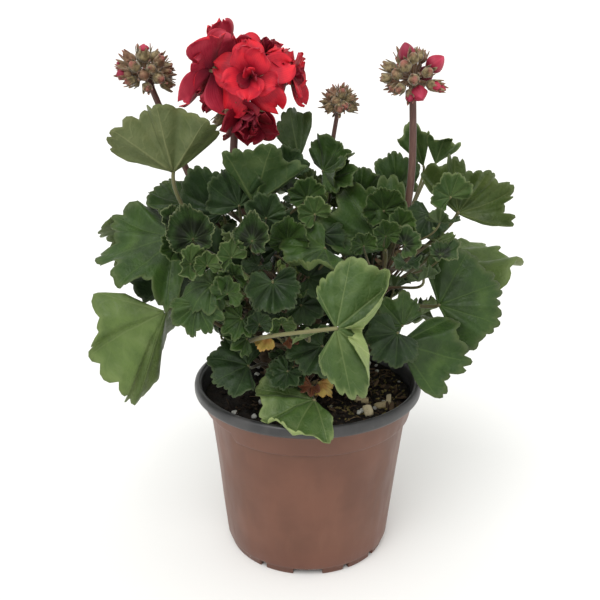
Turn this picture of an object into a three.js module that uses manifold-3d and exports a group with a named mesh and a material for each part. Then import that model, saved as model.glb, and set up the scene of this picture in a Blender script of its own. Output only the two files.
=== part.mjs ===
import * as THREE from "three";
import { mergeVertices } from "three/addons/utils/BufferGeometryUtils.js";
import Module from "manifold-3d";

// A potted pelargonium: a thin plastic pot, its soil, branching stems, lobed leaves on
// long stalks, one open head of double florets and three heads of buds.
// Millimetres, +Z up. The origin is the middle of the pot's foot, on the surface that
// it stands on. The front of the plant faces -Y, and +X is on the viewer's right.

const wasm = await Module();
wasm.setup();

// Driving dimensions.

const clearance = 0.35;

const pot = {
  height: 104,
  rimRadius: 66,
  rimDepth: 6,
  footRadius: 47,
  footWidth: 2.4,
  footHeight: 4,
  footCurve: 49,
  shoulderHeight: 83,
  shoulderRadius: 57,
  shoulderStep: 2.3,
  collarRadius: 62.2,
  wall: 1.3,
  sides: 36,
};

const notch = { depth: 8, height: 3.2 };

const footNotches = [
  { angle: -90, width: 17 },
  { angle: -123, width: 4 },
  { angle: -62, width: 4 },
  { angle: -38, width: 4 },
  { angle: 155, width: 4 },
  { angle: 90, width: 17 },
  { angle: 52, width: 4 },
  { angle: 10, width: 4 },
];

const drainHoles = { count: 6, ringRadius: 31, radius: 4, sides: 12 };

const soil = { level: 94.5, crown: 1.8, lump: 1.1, sides: 24 };

const blade = {
  thickness: 0.9,
  columns: 12,
  rings: [0.55, 1],
  curledColumns: 20,
  curledRings: [0.28, 0.42, 0.56, 0.72, 0.86, 1],
  lobeDepth: 0.1,
  narrowing: 0.2,
  narrowest: 0.25,
  veinSpacing: 0.68,
  sinusShare: 0.1,
  creaseShare: 0.14,
  waves: 5,
  innermost: 0.05,
  probe: 0.02,
};

// A leaf stalk is thicker where its blade is large. leave and arrive say how long its bend's
// handles are, as shares of the way from the branch to the hub. It leaves the branch outward
// and up by climb, and meets the blade mostly square to it and a little slanted.
const leafStalk = {
  radius: 1.15,
  largeBlade: 28,
  large: 1.15,
  small: 0.85,
  sides: 4,
  steps: 5,
  leave: 0.35,
  climb: 0.8,
  arrive: 0.3,
  square: 0.9,
  slant: 0.3,
};

const flowerStalk = { sides: 6, steps: 5, knotSides: 7, knotRings: 5 };

// A petal's reach, width and place are shares of the flower's radius, and the petals lean by
// turns little and much.
const floretShape = {
  petals: 5,
  petalThickness: 1.4,
  petalSides: 6,
  petalReach: 0.5,
  petalWidth: 0.42,
  petalPlace: 0.52,
  leans: [0.2, 0.55],
  pedicelRadius: 0.8,
};

// lowest is how far down the buds point, from 1 for straight up to -1 for straight down.
const budShape = { length: 8, radius: 2.2, sides: 4, widest: 0.3, lowest: -0.45, knotWall: 1.2 };

// Colours of the materials.

const colours = {
  pot: 0x84594b,
  soil: 0x2a2420,
  stem: 0x5a4a3c,
  leaf: 0x42663a,
  leafShaded: 0x2c4a2c,
  leafPale: 0x5d8550,
  flowerStalk: 0x50392f,
  petal: 0xb3182a,
  bud: 0x6f5a45,
};

// The woody branches. Each is a smooth bend through its base, two handles and its top.

const branches = {
  middle: {
    radius: 4,
    bend: [[0, 3, 78], [-4, 5, 120], [-26, 6, 165], [-34, 2, 204]],
  },
  left: {
    radius: 4.2,
    bend: [[-14, -3, 78], [-16, -6, 110], [-38, -8, 140], [-44, 4, 186]],
  },
  right: {
    radius: 4.2,
    bend: [[15, -4, 78], [20, -8, 115], [38, -10, 140], [47, -2, 190]],
  },
  front: {
    radius: 3.4,
    bend: [[2, -14, 78], [2, -20, 105], [-8, -24, 135], [-12, -20, 170]],
  },
  back: {
    radius: 3.8,
    bend: [[2, 18, 78], [4, 26, 115], [8, 34, 150], [10, 30, 198]],
  },
};

const branchShape = { sides: 6, steps: 7 };

// The root stock joins the branches inside the soil.
const rootStock = { radius: 15, taper: 0.7, top: 86, bottom: 72, sides: 12, centre: [1, 1] };

// One row for each leaf. hub is where the leaf stalk meets the blade, tip is the end of
// the middle vein, and face is the way the upper side looks. spread is how far the blade
// reaches round the hub on each side, in radians, and narrowing how much shorter its sides
// are than its middle. cup, fold, droop and ruffle bend it. A curl turns the margin towards
// the upper side, round a crease: centre, width and turn are in radians, and start is how
// far out the crease begins, as a share of the blade.

const leafRows = [
  {
    name: "leaf_upper_left", branch: "left", height: 176,
    hub: [-71, -12, 226], tip: [-76, -22, 264], face: [0.05, 0.95, 0.25],
    spread: 1.1, narrowing: 0, droop: 0.35, ruffle: 0.1,
  },
  {
    name: "leaf_left_large", branch: "left", height: 150,
    hub: [-70, -24, 194], tip: [-114, -30, 192], face: [-0.2, -0.5, 0.85],
    spread: 2, fold: -0.2, droop: 0.35, ruffle: 0.12,
  },
  {
    name: "leaf_left_shaded", branch: "left", height: 138,
    hub: [-72, 2, 172], tip: [-104, -6, 168], face: [-0.1, -0.35, 0.95],
    spread: 2.2, droop: 0.4, tone: "leafShaded",
  },
  {
    name: "leaf_left_zoned", branch: "left", height: 168,
    hub: [-57, -52, 201], tip: [-60, -45, 221], face: [-0.05, -0.5, 0.85],
    spread: 2.7, cup: 0.5, ruffle: 0.3,
  },
  {
    name: "leaf_left_upright", branch: "left", height: 178,
    hub: [-46, -14, 205], tip: [-57, -6, 228], face: [-0.2, -0.85, 0.4],
    spread: 1.8, cup: 0.2, ruffle: 0.16, tone: "leafShaded",
  },
  {
    name: "leaf_left_upright_small", branch: "front", height: 162,
    hub: [-36, -24, 211], tip: [-43, -18, 230], face: [0.15, -0.85, 0.4],
    spread: 1.8, cup: 0.24, ruffle: 0.16, tone: "leafShaded",
  },
  {
    name: "leaf_middle_zoned", branch: "middle", height: 168,
    hub: [-28, -52, 200], tip: [-24, -46, 215], face: [0.05, -0.5, 0.85],
    spread: 2.8, cup: 0.52, ruffle: 0.3,
  },
  {
    name: "leaf_front_left_small", branch: "front", height: 150,
    hub: [-37, -59, 184], tip: [-39, -62, 196], face: [-0.1, -0.7, 0.65],
    spread: 2.6, cup: 0.48, ruffle: 0.3,
  },
  {
    name: "leaf_front_left_lobed", branch: "left", height: 135,
    hub: [-55, -60, 170], tip: [-60, -67, 155], face: [-0.25, -0.8, 0.35],
    spread: 2, droop: 0.3, ruffle: 0.12,
  },
  {
    name: "leaf_front_middle_dark", branch: "front", height: 145,
    hub: [-18, -56, 180], tip: [-17, -61, 163], face: [0.05, -0.85, 0.4],
    spread: 2.5, cup: 0.18, ruffle: 0.16, tone: "leafShaded",
  },
  {
    name: "leaf_middle_small", branch: "front", height: 164,
    hub: [-11, -34, 195], tip: [-10, -34, 213], face: [0.05, -0.8, 0.5],
    spread: 2.4, cup: 0.48, ruffle: 0.3,
  },
  {
    name: "leaf_middle_rolled", branch: "front", height: 160,
    hub: [8, -44, 194], tip: [-15, -53, 190], face: [-0.1, -0.45, 0.9],
    spread: 2, curl: { centre: 0.7, width: 1.2, turn: 1.6, start: 0.6 },
  },
  {
    name: "leaf_upper_middle", branch: "middle", height: 192,
    hub: [-28, -22, 211], tip: [-20, -24, 246], face: [-0.15, 0.9, 0.3],
    spread: 0.85, narrowing: 0, droop: 0.3, ruffle: 0.12,
  },
  {
    name: "leaf_top_upright", branch: "middle", height: 200,
    hub: [-5, 8, 229], tip: [-12, 13, 257], face: [-0.3, 0.75, 0.2],
    spread: 0.65, droop: 0.3, ruffle: 0.1, tone: "leafShaded",
  },
  {
    name: "leaf_top_small", branch: "back", height: 184,
    hub: [8, 8, 223], tip: [26, 4, 234], face: [0.1, -0.6, 0.75],
    spread: 2, cup: 0.24, ruffle: 0.26,
  },
  {
    name: "leaf_middle_large", branch: "right", height: 160,
    hub: [41, -20, 186], tip: [18, -10, 220], face: [-0.15, -0.85, 0.4],
    spread: 1.15, droop: 0.15, ruffle: 0.12, curl: { centre: 1.15, width: 0.5, turn: 1.2, start: 0.62 },
  },
  {
    name: "leaf_right_pale", branch: "right", height: 178,
    hub: [66, 28, 222], tip: [57, 31, 248], face: [-0.3, -0.7, 0.5],
    spread: 0.55, cup: 0.12, fold: 0.3, tone: "leafPale",
  },
  {
    name: "leaf_right_pale_curled", branch: "right", height: 184,
    hub: [72, 23, 224], tip: [78, 24, 243], face: [0.25, -0.75, 0.55],
    spread: 0.7, curl: { centre: 0.1, width: 0.6, turn: 1.5, start: 0.6 }, tone: "leafPale",
  },
  {
    name: "leaf_right_large", branch: "right", height: 166,
    hub: [81, -6, 203], tip: [100, 9, 224], face: [0, -0.75, 0.65],
    spread: 1.6, narrowing: 0, cup: 0.24, ruffle: 0.12,
  },
  {
    name: "leaf_right_inner", branch: "right", height: 158,
    hub: [66, -4, 202], tip: [60, -10, 190], face: [0.1, -0.8, 0.5],
    spread: 2.2, tone: "leafShaded",
  },
  {
    name: "leaf_right_inner_small", branch: "right", height: 174,
    hub: [40, -14, 206], tip: [37, -14, 222], face: [-0.1, -0.75, 0.6],
    spread: 2.5, cup: 0.38,
  },
  {
    name: "leaf_centre_high", branch: "back", height: 178,
    hub: [28, 8, 207], tip: [31, 10, 226], face: [0.1, -0.75, 0.6],
    spread: 1.9, cup: 0.16, ruffle: 0.26,
  },
  {
    name: "leaf_centre_right", branch: "right", height: 182,
    hub: [49, 16, 210], tip: [48, 18, 232], face: [0.1, -0.75, 0.5],
    spread: 1.2, fold: 0.4,
  },
  {
    name: "leaf_right_far", branch: "right", height: 150,
    hub: [73, 26, 171], tip: [126, 22, 165], face: [0.1, -0.1, 1],
    spread: 0.85, narrowing: 0.7, droop: 0.3, ruffle: 0.1,
  },
  {
    name: "leaf_right_round", branch: "right", height: 146,
    hub: [71, -20, 155], tip: [106, -12, 166], face: [0.05, -0.85, 0.5],
    spread: 1.5, droop: 0.3, ruffle: 0.08,
  },
  {
    name: "leaf_lower_right", branch: "right", height: 118,
    hub: [47, -40, 140], tip: [90, -45, 135], face: [0.15, -0.75, 0.6],
    spread: 0.9, narrowing: 0.8, fold: -0.2, droop: 0.3, ruffle: 0.12,
  },
  {
    name: "leaf_lower_right_inner", branch: "right", height: 128,
    hub: [50, -33, 148], tip: [38, -36, 164], face: [-0.05, -0.8, 0.6],
    spread: 2.1, cup: 0.08, ruffle: 0.16,
  },
  {
    name: "leaf_lower_right_small", branch: "front", height: 112,
    hub: [46, -46, 149], tip: [33, -53, 137], face: [0, -0.85, 0.5],
    spread: 2, tone: "leafShaded",
  },
  {
    name: "leaf_front_folded", branch: "left", height: 110,
    hub: [13, -75, 163], tip: [56, -77, 164], face: [-0.05, -0.95, 0.3],
    handles: [[-50, -30, 140], [-30, -66, 154]],
    spread: 2.15, narrowing: 0.3,
    curl: { centre: -0.17, width: 1.15, turn: 1.9, start: 0.27 }, tone: "leafPale",
  },
  {
    name: "leaf_front_shaded", branch: "front", height: 108,
    hub: [7, -42, 140], tip: [-12, -47, 136], face: [-0.05, -0.7, 0.7],
    spread: 2.1, tone: "leafShaded",
  },
  {
    name: "leaf_front_on_rim", branch: "front", height: 99,
    hub: [3, -47, 111], tip: [-27, -62, 110], face: [-0.05, -0.25, 0.96],
    spread: 1.7, ruffle: 0.08, curl: { centre: 0.7, width: 1, turn: 1.4, start: 0.7 }, tone: "leafPale",
  },
  {
    name: "leaf_lower_left_small", branch: "left", height: 112,
    hub: [-32, -40, 128], tip: [-53, -42, 135], face: [-0.1, -0.7, 0.7],
    spread: 2.1, tone: "leafShaded",
  },
  {
    name: "leaf_young_left", branch: "front", height: 136,
    hub: [-34, -54, 160], tip: [-44, -61, 156], face: [-0.15, -0.8, 0.5],
    spread: 2.3, ruffle: 0.14,
  },
  {
    name: "leaf_young_right", branch: "front", height: 130,
    hub: [-14, -54, 157], tip: [-14, -57, 167], face: [0.1, -0.7, 0.65],
    spread: 2.6, cup: 0.44, ruffle: 0.14, tone: "leafPale",
  },
  {
    name: "leaf_left_drooping", branch: "left", height: 128,
    hub: [-75, -35, 157], tip: [-94, -32, 96], face: [0.5, -0.7, -0.2],
    handles: [[-40, -10, 128], [-68, -24, 164]],
    spread: 1.5, narrowing: 0.8, fold: -0.7, droop: 0.15,
  },
  {
    name: "leaf_front_low", branch: "left", height: 104,
    hub: [-8, -40, 127], tip: [-18, -45, 120], face: [-0.1, -0.75, 0.6],
    spread: 2.3, cup: 0.16, ruffle: 0.12, tone: "leafShaded",
  },
  {
    name: "leaf_back_left_high", branch: "middle", height: 186,
    hub: [-54, 38, 204], tip: [-84, 58, 208], face: [-0.3, 0.35, 0.9],
    spread: 2.4, droop: 0.4,
  },
  {
    name: "leaf_back_left", branch: "left", height: 166,
    hub: [-80, 44, 182], tip: [-126, 58, 171], face: [-0.4, 0.5, 0.75],
    spread: 2, droop: 0.5,
  },
  {
    name: "leaf_back_left_low", branch: "back", height: 120,
    hub: [-32, 60, 136], tip: [-50, 82, 116], face: [-0.3, 0.7, 0.6],
    spread: 2.4, droop: 0.4,
  },
  {
    name: "leaf_back_middle_high", branch: "back", height: 190,
    hub: [-8, 60, 206], tip: [-16, 103, 203], face: [0.05, 0.3, 0.9],
    spread: 2.4, droop: 0.5,
  },
  {
    name: "leaf_back_middle", branch: "back", height: 156,
    hub: [-8, 70, 172], tip: [-12, 103, 152], face: [-0.05, 0.75, 0.65],
    spread: 2.5, droop: 0.3,
  },
  {
    name: "leaf_back_middle_low", branch: "back", height: 128,
    hub: [18, 64, 142], tip: [26, 86, 120], face: [0.15, 0.75, 0.6],
    spread: 2.4, droop: 0.4,
  },
  {
    name: "leaf_back_right_high", branch: "back", height: 180,
    hub: [38, 52, 200], tip: [62, 74, 204], face: [0.2, 0.3, 0.9],
    spread: 2.4, droop: 0.5,
  },
  {
    name: "leaf_back_right", branch: "right", height: 154,
    hub: [52, 50, 164], tip: [78, 76, 150], face: [0.35, 0.5, 0.75],
    spread: 2.5, droop: 0.4,
  },
  {
    name: "leaf_back_right_low", branch: "right", height: 124,
    hub: [60, 32, 134], tip: [86, 46, 116], face: [0.5, 0.35, 0.75],
    spread: 2.4, droop: 0.4,
  },
];

// The flower stalks. Each is a smooth bend from a branch to the middle of its head.

const openHead = {
  name: "flower_stalk_open_head",
  radius: 2.1,
  bend: [[-34, 2, 202], [-42, 0, 218], [-41, 0, 240], [-37, 0, 258]],
  knotRadius: 3.6,
};

// centre is the middle of the petals, face is the way the flower looks.
const floretRows = [
  { name: "floret_left", centre: [-52, -3, 279], face: [-0.7, 0.62, 0.25], radius: 22 },
  { name: "floret_left_top", centre: [-46, 14, 289], face: [-0.4, 0.4, 0.8], radius: 14 },
  { name: "floret_top", centre: [-22, 4, 288], face: [0.2, -0.4, 0.9], radius: 16 },
  { name: "floret_front", centre: [-29, -20, 276], face: [0, -1, 0.15], radius: 19 },
  { name: "floret_right", centre: [-7, 2, 275], face: [0.85, -0.5, 0.1], radius: 15 },
  { name: "floret_hanging", centre: [-31, -11, 253], face: [0.15, -0.9, -0.35], radius: 13 },
  { name: "floret_back", centre: [-28, 24, 277], face: [0.25, 0.95, 0.2], radius: 16 },
  { name: "floret_back_low", centre: [-50, 18, 266], face: [-0.6, 0.75, -0.05], radius: 13 },
];

const budHeadRows = [
  {
    name: "bud_head_left",
    stalkRadius: 1.8,
    bend: [[-44, 4, 184], [-62, 6, 205], [-73, 8, 242], [-86, 9, 274]],
    count: 15,
    reach: 8,
  },
  {
    name: "bud_head_middle",
    stalkRadius: 1.3,
    bend: [[10, 29, 196], [11, 26, 215], [13, 22, 235], [17, 20, 258]],
    count: 11,
    reach: 3,
  },
  {
    name: "bud_head_right",
    stalkRadius: 2,
    bend: [[47, -2, 188], [57, 0, 200], [57, 0, 228], [54, 0, 272]],
    count: 17,
    reach: 10,
  },
];

// Closed solids.

function vector(values) {
  return new THREE.Vector3(...values);
}

function solidFrom(geometry) {
  let source = geometry;
  source.deleteAttribute("normal");
  source.deleteAttribute("uv");
  source = mergeVertices(source, 1e-4);
  const corners = source.index.array;
  const faces = [];
  for (let i = 0; i < corners.length; i += 3) {
    const [a, b, c] = corners.slice(i, i + 3);
    if (a !== b && b !== c && c !== a) faces.push(a, b, c);
  }
  const places = new Float32Array(source.attributes.position.array);
  const make = (triangles) => new wasm.Manifold(new wasm.Mesh({
    numProp: 3,
    vertProperties: places,
    triVerts: new Uint32Array(triangles),
  }));
  const solid = make(faces);
  if (solid.volume() > 0) return solid;
  for (let i = 0; i < faces.length; i += 3) {
    [faces[i + 1], faces[i + 2]] = [faces[i + 2], faces[i + 1]];
  }
  return make(faces);
}

function geometryFrom(solid) {
  const mesh = solid.getMesh();
  const geometry = new THREE.BufferGeometry();
  geometry.setAttribute("position", new THREE.BufferAttribute(mesh.vertProperties, 3));
  geometry.setIndex(new THREE.BufferAttribute(mesh.triVerts, 1));
  geometry.computeVertexNormals();
  return geometry;
}

function bezier(bend) {
  return new THREE.CubicBezierCurve3(...bend.map(vector));
}

function tube(curve, radius, sides, steps) {
  const section = new THREE.Shape();
  for (let i = 0; i < sides; i += 1) {
    const turn = (2 * Math.PI * i) / sides;
    const x = radius * Math.cos(turn);
    const y = radius * Math.sin(turn);
    if (i === 0) section.moveTo(x, y);
    else section.lineTo(x, y);
  }
  section.closePath();
  const settings = { steps, bevelEnabled: false, extrudePath: curve };
  return solidFrom(new THREE.ExtrudeGeometry(section, settings));
}

// The pot.

function potProfile() {
  const {
    height, rimRadius, rimDepth, footRadius, footWidth, footHeight, footCurve,
    shoulderHeight, shoulderRadius, shoulderStep, collarRadius, wall,
  } = pot;
  const underRim = height - rimDepth - 1;
  const outside = [
    [0, footHeight],
    [footRadius - footWidth - 0.6, footHeight],
    [footRadius - footWidth, 0],
    [footRadius, 0],
    [footCurve - 0.8, footHeight - 1],
    [footCurve, footHeight + 2],
    [shoulderRadius, shoulderHeight],
    [shoulderRadius + shoulderStep, shoulderHeight + 1.5],
    [collarRadius, underRim],
    [rimRadius - 1.5, underRim + 0.6],
    [rimRadius, underRim + 2],
    [rimRadius, height - 1.6],
    [rimRadius - 1.4, height],
    [collarRadius + 0.2, height],
  ];
  const inside = [
    [collarRadius - wall, underRim + 1],
    [shoulderRadius + shoulderStep - wall, shoulderHeight + 1.5],
    [shoulderRadius - wall, shoulderHeight],
    [footCurve - wall, footHeight + wall + 2],
    [footCurve - wall - 2, footHeight + wall],
    [0, footHeight + wall],
  ];
  return { outside, inside };
}

function lathe(points, sides) {
  return solidFrom(new THREE.LatheGeometry(points.map(([r, z]) => new THREE.Vector2(r, z)), sides)
    .rotateX(Math.PI / 2));
}

function makePot() {
  const { outside, inside } = potProfile();
  let solid = lathe([...outside, ...inside], pot.sides);
  for (const { angle, width } of footNotches) {
    const turn = THREE.MathUtils.degToRad(angle);
    const ring = pot.footRadius - pot.footWidth / 2;
    const gap = new THREE.BoxGeometry(notch.depth, width, 2 * notch.height)
      .rotateZ(turn)
      .translate(ring * Math.cos(turn), ring * Math.sin(turn), 0);
    solid = solid.subtract(solidFrom(gap));
  }
  for (let i = 0; i < drainHoles.count; i += 1) {
    const turn = (2 * Math.PI * (i + 0.5)) / drainHoles.count;
    const hole = new THREE.CylinderGeometry(drainHoles.radius, drainHoles.radius, 6, drainHoles.sides)
      .rotateX(Math.PI / 2)
      .translate(
        drainHoles.ringRadius * Math.cos(turn),
        drainHoles.ringRadius * Math.sin(turn),
        pot.footHeight + pot.wall / 2,
      );
    solid = solid.subtract(solidFrom(hole));
  }
  return solid;
}

// The soil keeps clear of the pot's wall, and its top is a low, lumpy crown.

function soilRadius(height) {
  const { inside } = potProfile();
  const wall = [...inside].reverse();
  for (let i = 1; i < wall.length - 1; i += 1) {
    const [lowRadius, low] = wall[i];
    const [highRadius, high] = wall[i + 1];
    if (height <= high) {
      const share = (height - low) / (high - low);
      return lowRadius + share * (highRadius - lowRadius) - clearance;
    }
  }
  return wall[wall.length - 1][0] - clearance;
}

function soilHeight(x, y) {
  const fromMiddle = Math.hypot(x, y) / soilRadius(soil.level);
  const crown = soil.crown * (1 - fromMiddle * fromMiddle);
  const lumps = Math.sin(0.21 * x + 0.4) * Math.cos(0.19 * y - 0.7) + 0.5 * Math.sin(0.43 * x - 0.3 * y);
  return soil.level + crown + soil.lump * lumps * (1 - fromMiddle);
}

function makeSoil() {
  const floor = pot.footHeight + pot.wall + clearance;
  const edge = soilRadius(soil.level);
  const levels = [floor + 2.2, pot.shoulderHeight, pot.shoulderHeight + 1.8];
  const profile = [
    [0, floor],
    [soilRadius(floor + 2.2) - 2.2, floor],
    ...levels.map((level) => [soilRadius(level), level]),
    [edge, soil.level],
    ...[0.7, 0.35].map((share) => [edge * share, soil.level + 1]),
    [0, soil.level + 1],
  ];
  const points = profile.map(([r, z]) => new THREE.Vector2(r, z));
  const geometry = new THREE.LatheGeometry(points, soil.sides).rotateX(Math.PI / 2);
  const places = geometry.attributes.position;
  for (let i = 0; i < places.count; i += 1) {
    if (places.getZ(i) > soil.level + 0.5) {
      places.setZ(i, soilHeight(places.getX(i), places.getY(i)));
    }
  }
  return solidFrom(geometry);
}

// The woody branches, joined by the root stock.

function makeBranches(extra) {
  const { radius, taper, top, bottom, sides, centre } = rootStock;
  const depth = top - bottom + 2 * extra;
  const stock = new THREE.CylinderGeometry(radius + extra, taper * radius + extra, depth, sides)
    .rotateX(Math.PI / 2)
    .translate(centre[0], centre[1], (top + bottom) / 2);
  let solid = solidFrom(stock);
  for (const branch of Object.values(branches)) {
    const { sides: branchSides, steps } = branchShape;
    solid = solid.add(tube(bezier(branch.bend), branch.radius + extra, branchSides, steps));
  }
  return solid;
}

function branchPoint(name, height) {
  const curve = bezier(branches[name].bend);
  let low = 0;
  let high = 1;
  for (let i = 0; i < 30; i += 1) {
    const middle = (low + high) / 2;
    if (curve.getPoint(middle).z < height) low = middle;
    else high = middle;
  }
  return curve.getPoint(low);
}

// Leaves. A blade starts as a flat disc whose turn and distance from the hub are stretched
// to the lobed outline, and is then bent.

function leafOutline(leaf, angle) {
  const narrowing = leaf.narrowing ?? blade.narrowing;
  const round = Math.max(1 - narrowing + narrowing * Math.cos(0.9 * angle), blade.narrowest);
  const lobes = 1 - (blade.lobeDepth * (1 - Math.cos((2 * Math.PI * angle) / blade.veinSpacing))) / 2;
  return round * lobes;
}

// A curled margin turns over along a crease that is nearest the hub in the middle of the curl.

function creaseOf(curl, angle) {
  const offset = Math.abs((angle - curl.centre) / curl.width);
  if (offset >= 1) return null;
  return {
    start: curl.start + (0.9 - curl.start) * offset * offset,
    turn: curl.turn * (1 - offset ** 4),
  };
}

function bladePoint(leaf, radius, angle, share) {
  const { cup = 0, fold = 0, droop = 0.2, ruffle = 0.05 } = leaf;
  const reach = radius * leafOutline(leaf, angle);
  const crease = leaf.curl ? creaseOf(leaf.curl, angle) : null;
  let along = reach * share;
  let up = radius * (cup + ruffle * Math.sin(blade.waves * angle)) * share * share;
  if (crease && share > crease.start) {
    const bendLength = blade.creaseShare * reach;
    const past = reach * (share - crease.start);
    const bent = crease.turn * Math.min(past / bendLength, 1);
    const bendRadius = bendLength / crease.turn;
    const straight = Math.max(past - bendLength, 0);
    along = reach * crease.start + bendRadius * Math.sin(bent) + straight * Math.cos(bent);
    up += bendRadius * (1 - Math.cos(bent)) + straight * Math.sin(bent);
  }
  const forward = along * Math.cos(angle);
  const aside = along * Math.sin(angle) * Math.cos(fold);
  up += Math.abs(along * Math.sin(angle)) * Math.sin(fold);
  const bow = Math.max(droop, 0.001) / radius;
  const lift = 1 / bow + up;
  const bowed = bow * forward;
  return new THREE.Vector3(lift * Math.sin(bowed), aside, lift * Math.cos(bowed) - 1 / bow);
}

function leafAxes(leaf) {
  const hub = vector(leaf.hub);
  const along = vector(leaf.tip).sub(hub);
  const radius = along.length();
  along.normalize();
  const face = vector(leaf.face);
  face.addScaledVector(along, -face.dot(along)).normalize();
  const left = face.clone().cross(along);
  return { hub, along, left, face, radius };
}

// The upper side is cut into triangles along the same diagonals as the underside, so the
// two stay parallel where the blade twists.
function matchDiagonals(geometry, columns, rings) {
  const corners = geometry.index.array;
  const steps = 2 * rings + 1;
  for (let quad = 0; quad < columns * steps; quad += 1) {
    if (quad % steps > rings) {
      const [a, b, d, c] = corners.slice(6 * quad, 6 * quad + 4);
      corners.set([a, b, c, c, d, a], 6 * quad);
    }
  }
}

function makeBlade(leaf, extra) {
  const { hub, along, left, face, radius } = leafAxes(leaf);
  const columns = leaf.curl ? blade.curledColumns : blade.columns;
  const shares = leaf.curl ? blade.curledRings : blade.rings;
  const half = blade.thickness / 2 + extra;
  const profile = [
    new THREE.Vector2(0, -1),
    ...shares.map((share) => new THREE.Vector2(share, -1)),
    ...[...shares].reverse().map((share) => new THREE.Vector2(share, 1)),
    new THREE.Vector2(0, 1),
  ];
  const geometry = new THREE.LatheGeometry(profile, columns);
  matchDiagonals(geometry, columns, shares.length);
  const places = geometry.attributes.position;
  const spread = leaf.spread;
  const grow = 1 + extra / radius;
  const place = new THREE.Vector3();
  for (let i = 0; i < places.count; i += 1) {
    place.fromBufferAttribute(places, i);
    const side = Math.sign(place.y);
    const share = Math.hypot(place.x, place.z);
    let turn = Math.atan2(place.x, -place.z);
    let reachShare = share;
    if (Math.abs(turn) > Math.PI - 0.01) {
      turn = Math.PI;
      reachShare = share * blade.sinusShare;
    } else {
      turn *= spread / (Math.PI * (1 - 2 / columns));
    }
    const at = (a, s) => bladePoint(leaf, radius, a, s);
    const here = at(turn, reachShare * grow);
    const probed = Math.max(reachShare, blade.innermost);
    const inward = at(turn, probed - blade.probe);
    const outward = at(turn, probed + blade.probe);
    const before = at(turn - blade.probe, probed);
    const after = at(turn + blade.probe, probed);
    const normal = outward.sub(inward).cross(after.sub(before)).normalize();
    if (share === 0) normal.set(0, 0, 1);
    here.addScaledVector(normal, side * half);
    place.copy(hub)
      .addScaledVector(along, here.x)
      .addScaledVector(left, here.y)
      .addScaledVector(face, here.z);
    places.setXYZ(i, place.x, place.y, place.z);
  }
  return solidFrom(geometry);
}

function leafStalkCurve(leaf) {
  const { hub, along, face } = leafAxes(leaf);
  const start = branchPoint(leaf.branch, leaf.height);
  if (leaf.handles) return new THREE.CubicBezierCurve3(start, ...leaf.handles.map(vector), hub);
  const length = start.distanceTo(hub);
  const outward = new THREE.Vector3(hub.x - start.x, hub.y - start.y, 0).normalize();
  outward.z = leafStalk.climb;
  const arrival = face.clone().multiplyScalar(leafStalk.square).addScaledVector(along, leafStalk.slant);
  const leave = start.clone().addScaledVector(outward, leafStalk.leave * length);
  const arrive = hub.clone().addScaledVector(arrival, -leafStalk.arrive * length);
  return new THREE.CubicBezierCurve3(start, leave, arrive, hub);
}

function makeLeaf(leaf, extra) {
  const { radius } = leafAxes(leaf);
  const size = radius > leafStalk.largeBlade ? leafStalk.large : leafStalk.small;
  const thick = leafStalk.radius * size + extra;
  const stalk = tube(leafStalkCurve(leaf), thick, leafStalk.sides, leafStalk.steps);
  return makeBlade(leaf, extra).add(stalk);
}

// Flowers.

function makeStalk(row, radius, extra) {
  return tube(bezier(row.bend), radius + extra, flowerStalk.sides, flowerStalk.steps);
}

function knotAt(row, radius) {
  const knot = new THREE.SphereGeometry(radius, flowerStalk.knotSides, flowerStalk.knotRings);
  return placed(knot, new THREE.Quaternion(), vector(row.bend[3]));
}

function turnedTo(direction) {
  const up = new THREE.Vector3(0, 0, 1);
  return new THREE.Quaternion().setFromUnitVectors(up, vector(direction).normalize());
}

function placed(geometry, quaternion, position) {
  const { x, y, z } = position;
  return solidFrom(geometry.applyQuaternion(quaternion).translate(x, y, z));
}

function petal(radius, turn, lean, extra) {
  const half = floretShape.petalThickness / 2 + extra;
  const points = [[0, -half], [1, -half], [1, half], [0, half]].map((p) => new THREE.Vector2(...p));
  const geometry = new THREE.LatheGeometry(points, floretShape.petalSides);
  geometry.rotateX(Math.PI / 2);
  const { petalReach, petalWidth, petalPlace } = floretShape;
  geometry.scale(petalReach * radius + extra, petalWidth * radius + extra, 1);
  geometry.translate(petalPlace * radius, 0, 0);
  geometry.rotateY(-lean);
  return geometry.rotateZ(turn);
}

function makeFloret(row, extra) {
  const quaternion = turnedTo(row.face);
  const centre = vector(row.centre);
  const knot = vector(openHead.bend[3]);
  const back = centre.clone().addScaledVector(vector(row.face).normalize(), -0.5 * row.radius);
  const pedicel = new THREE.QuadraticBezierCurve3(knot, back, centre);
  let solid = tube(pedicel, floretShape.pedicelRadius + extra, 3, 4);
  for (let i = 0; i < floretShape.petals; i += 1) {
    const turn = (2 * Math.PI * i) / floretShape.petals;
    const lean = floretShape.leans[i % 2];
    solid = solid.add(placed(petal(row.radius, turn, lean, extra), quaternion, centre));
  }
  return solid;
}

function makeOpenHeadStalk(extra) {
  return makeStalk(openHead, openHead.radius, extra).add(knotAt(openHead, openHead.knotRadius + extra));
}

function budDirection(index, count) {
  const golden = Math.PI * (3 - Math.sqrt(5));
  const rise = 1 - ((1 - budShape.lowest) * (index + 0.5)) / count;
  const flat = Math.sqrt(1 - rise * rise);
  const turn = golden * index;
  return [flat * Math.cos(turn), flat * Math.sin(turn), rise];
}

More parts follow.
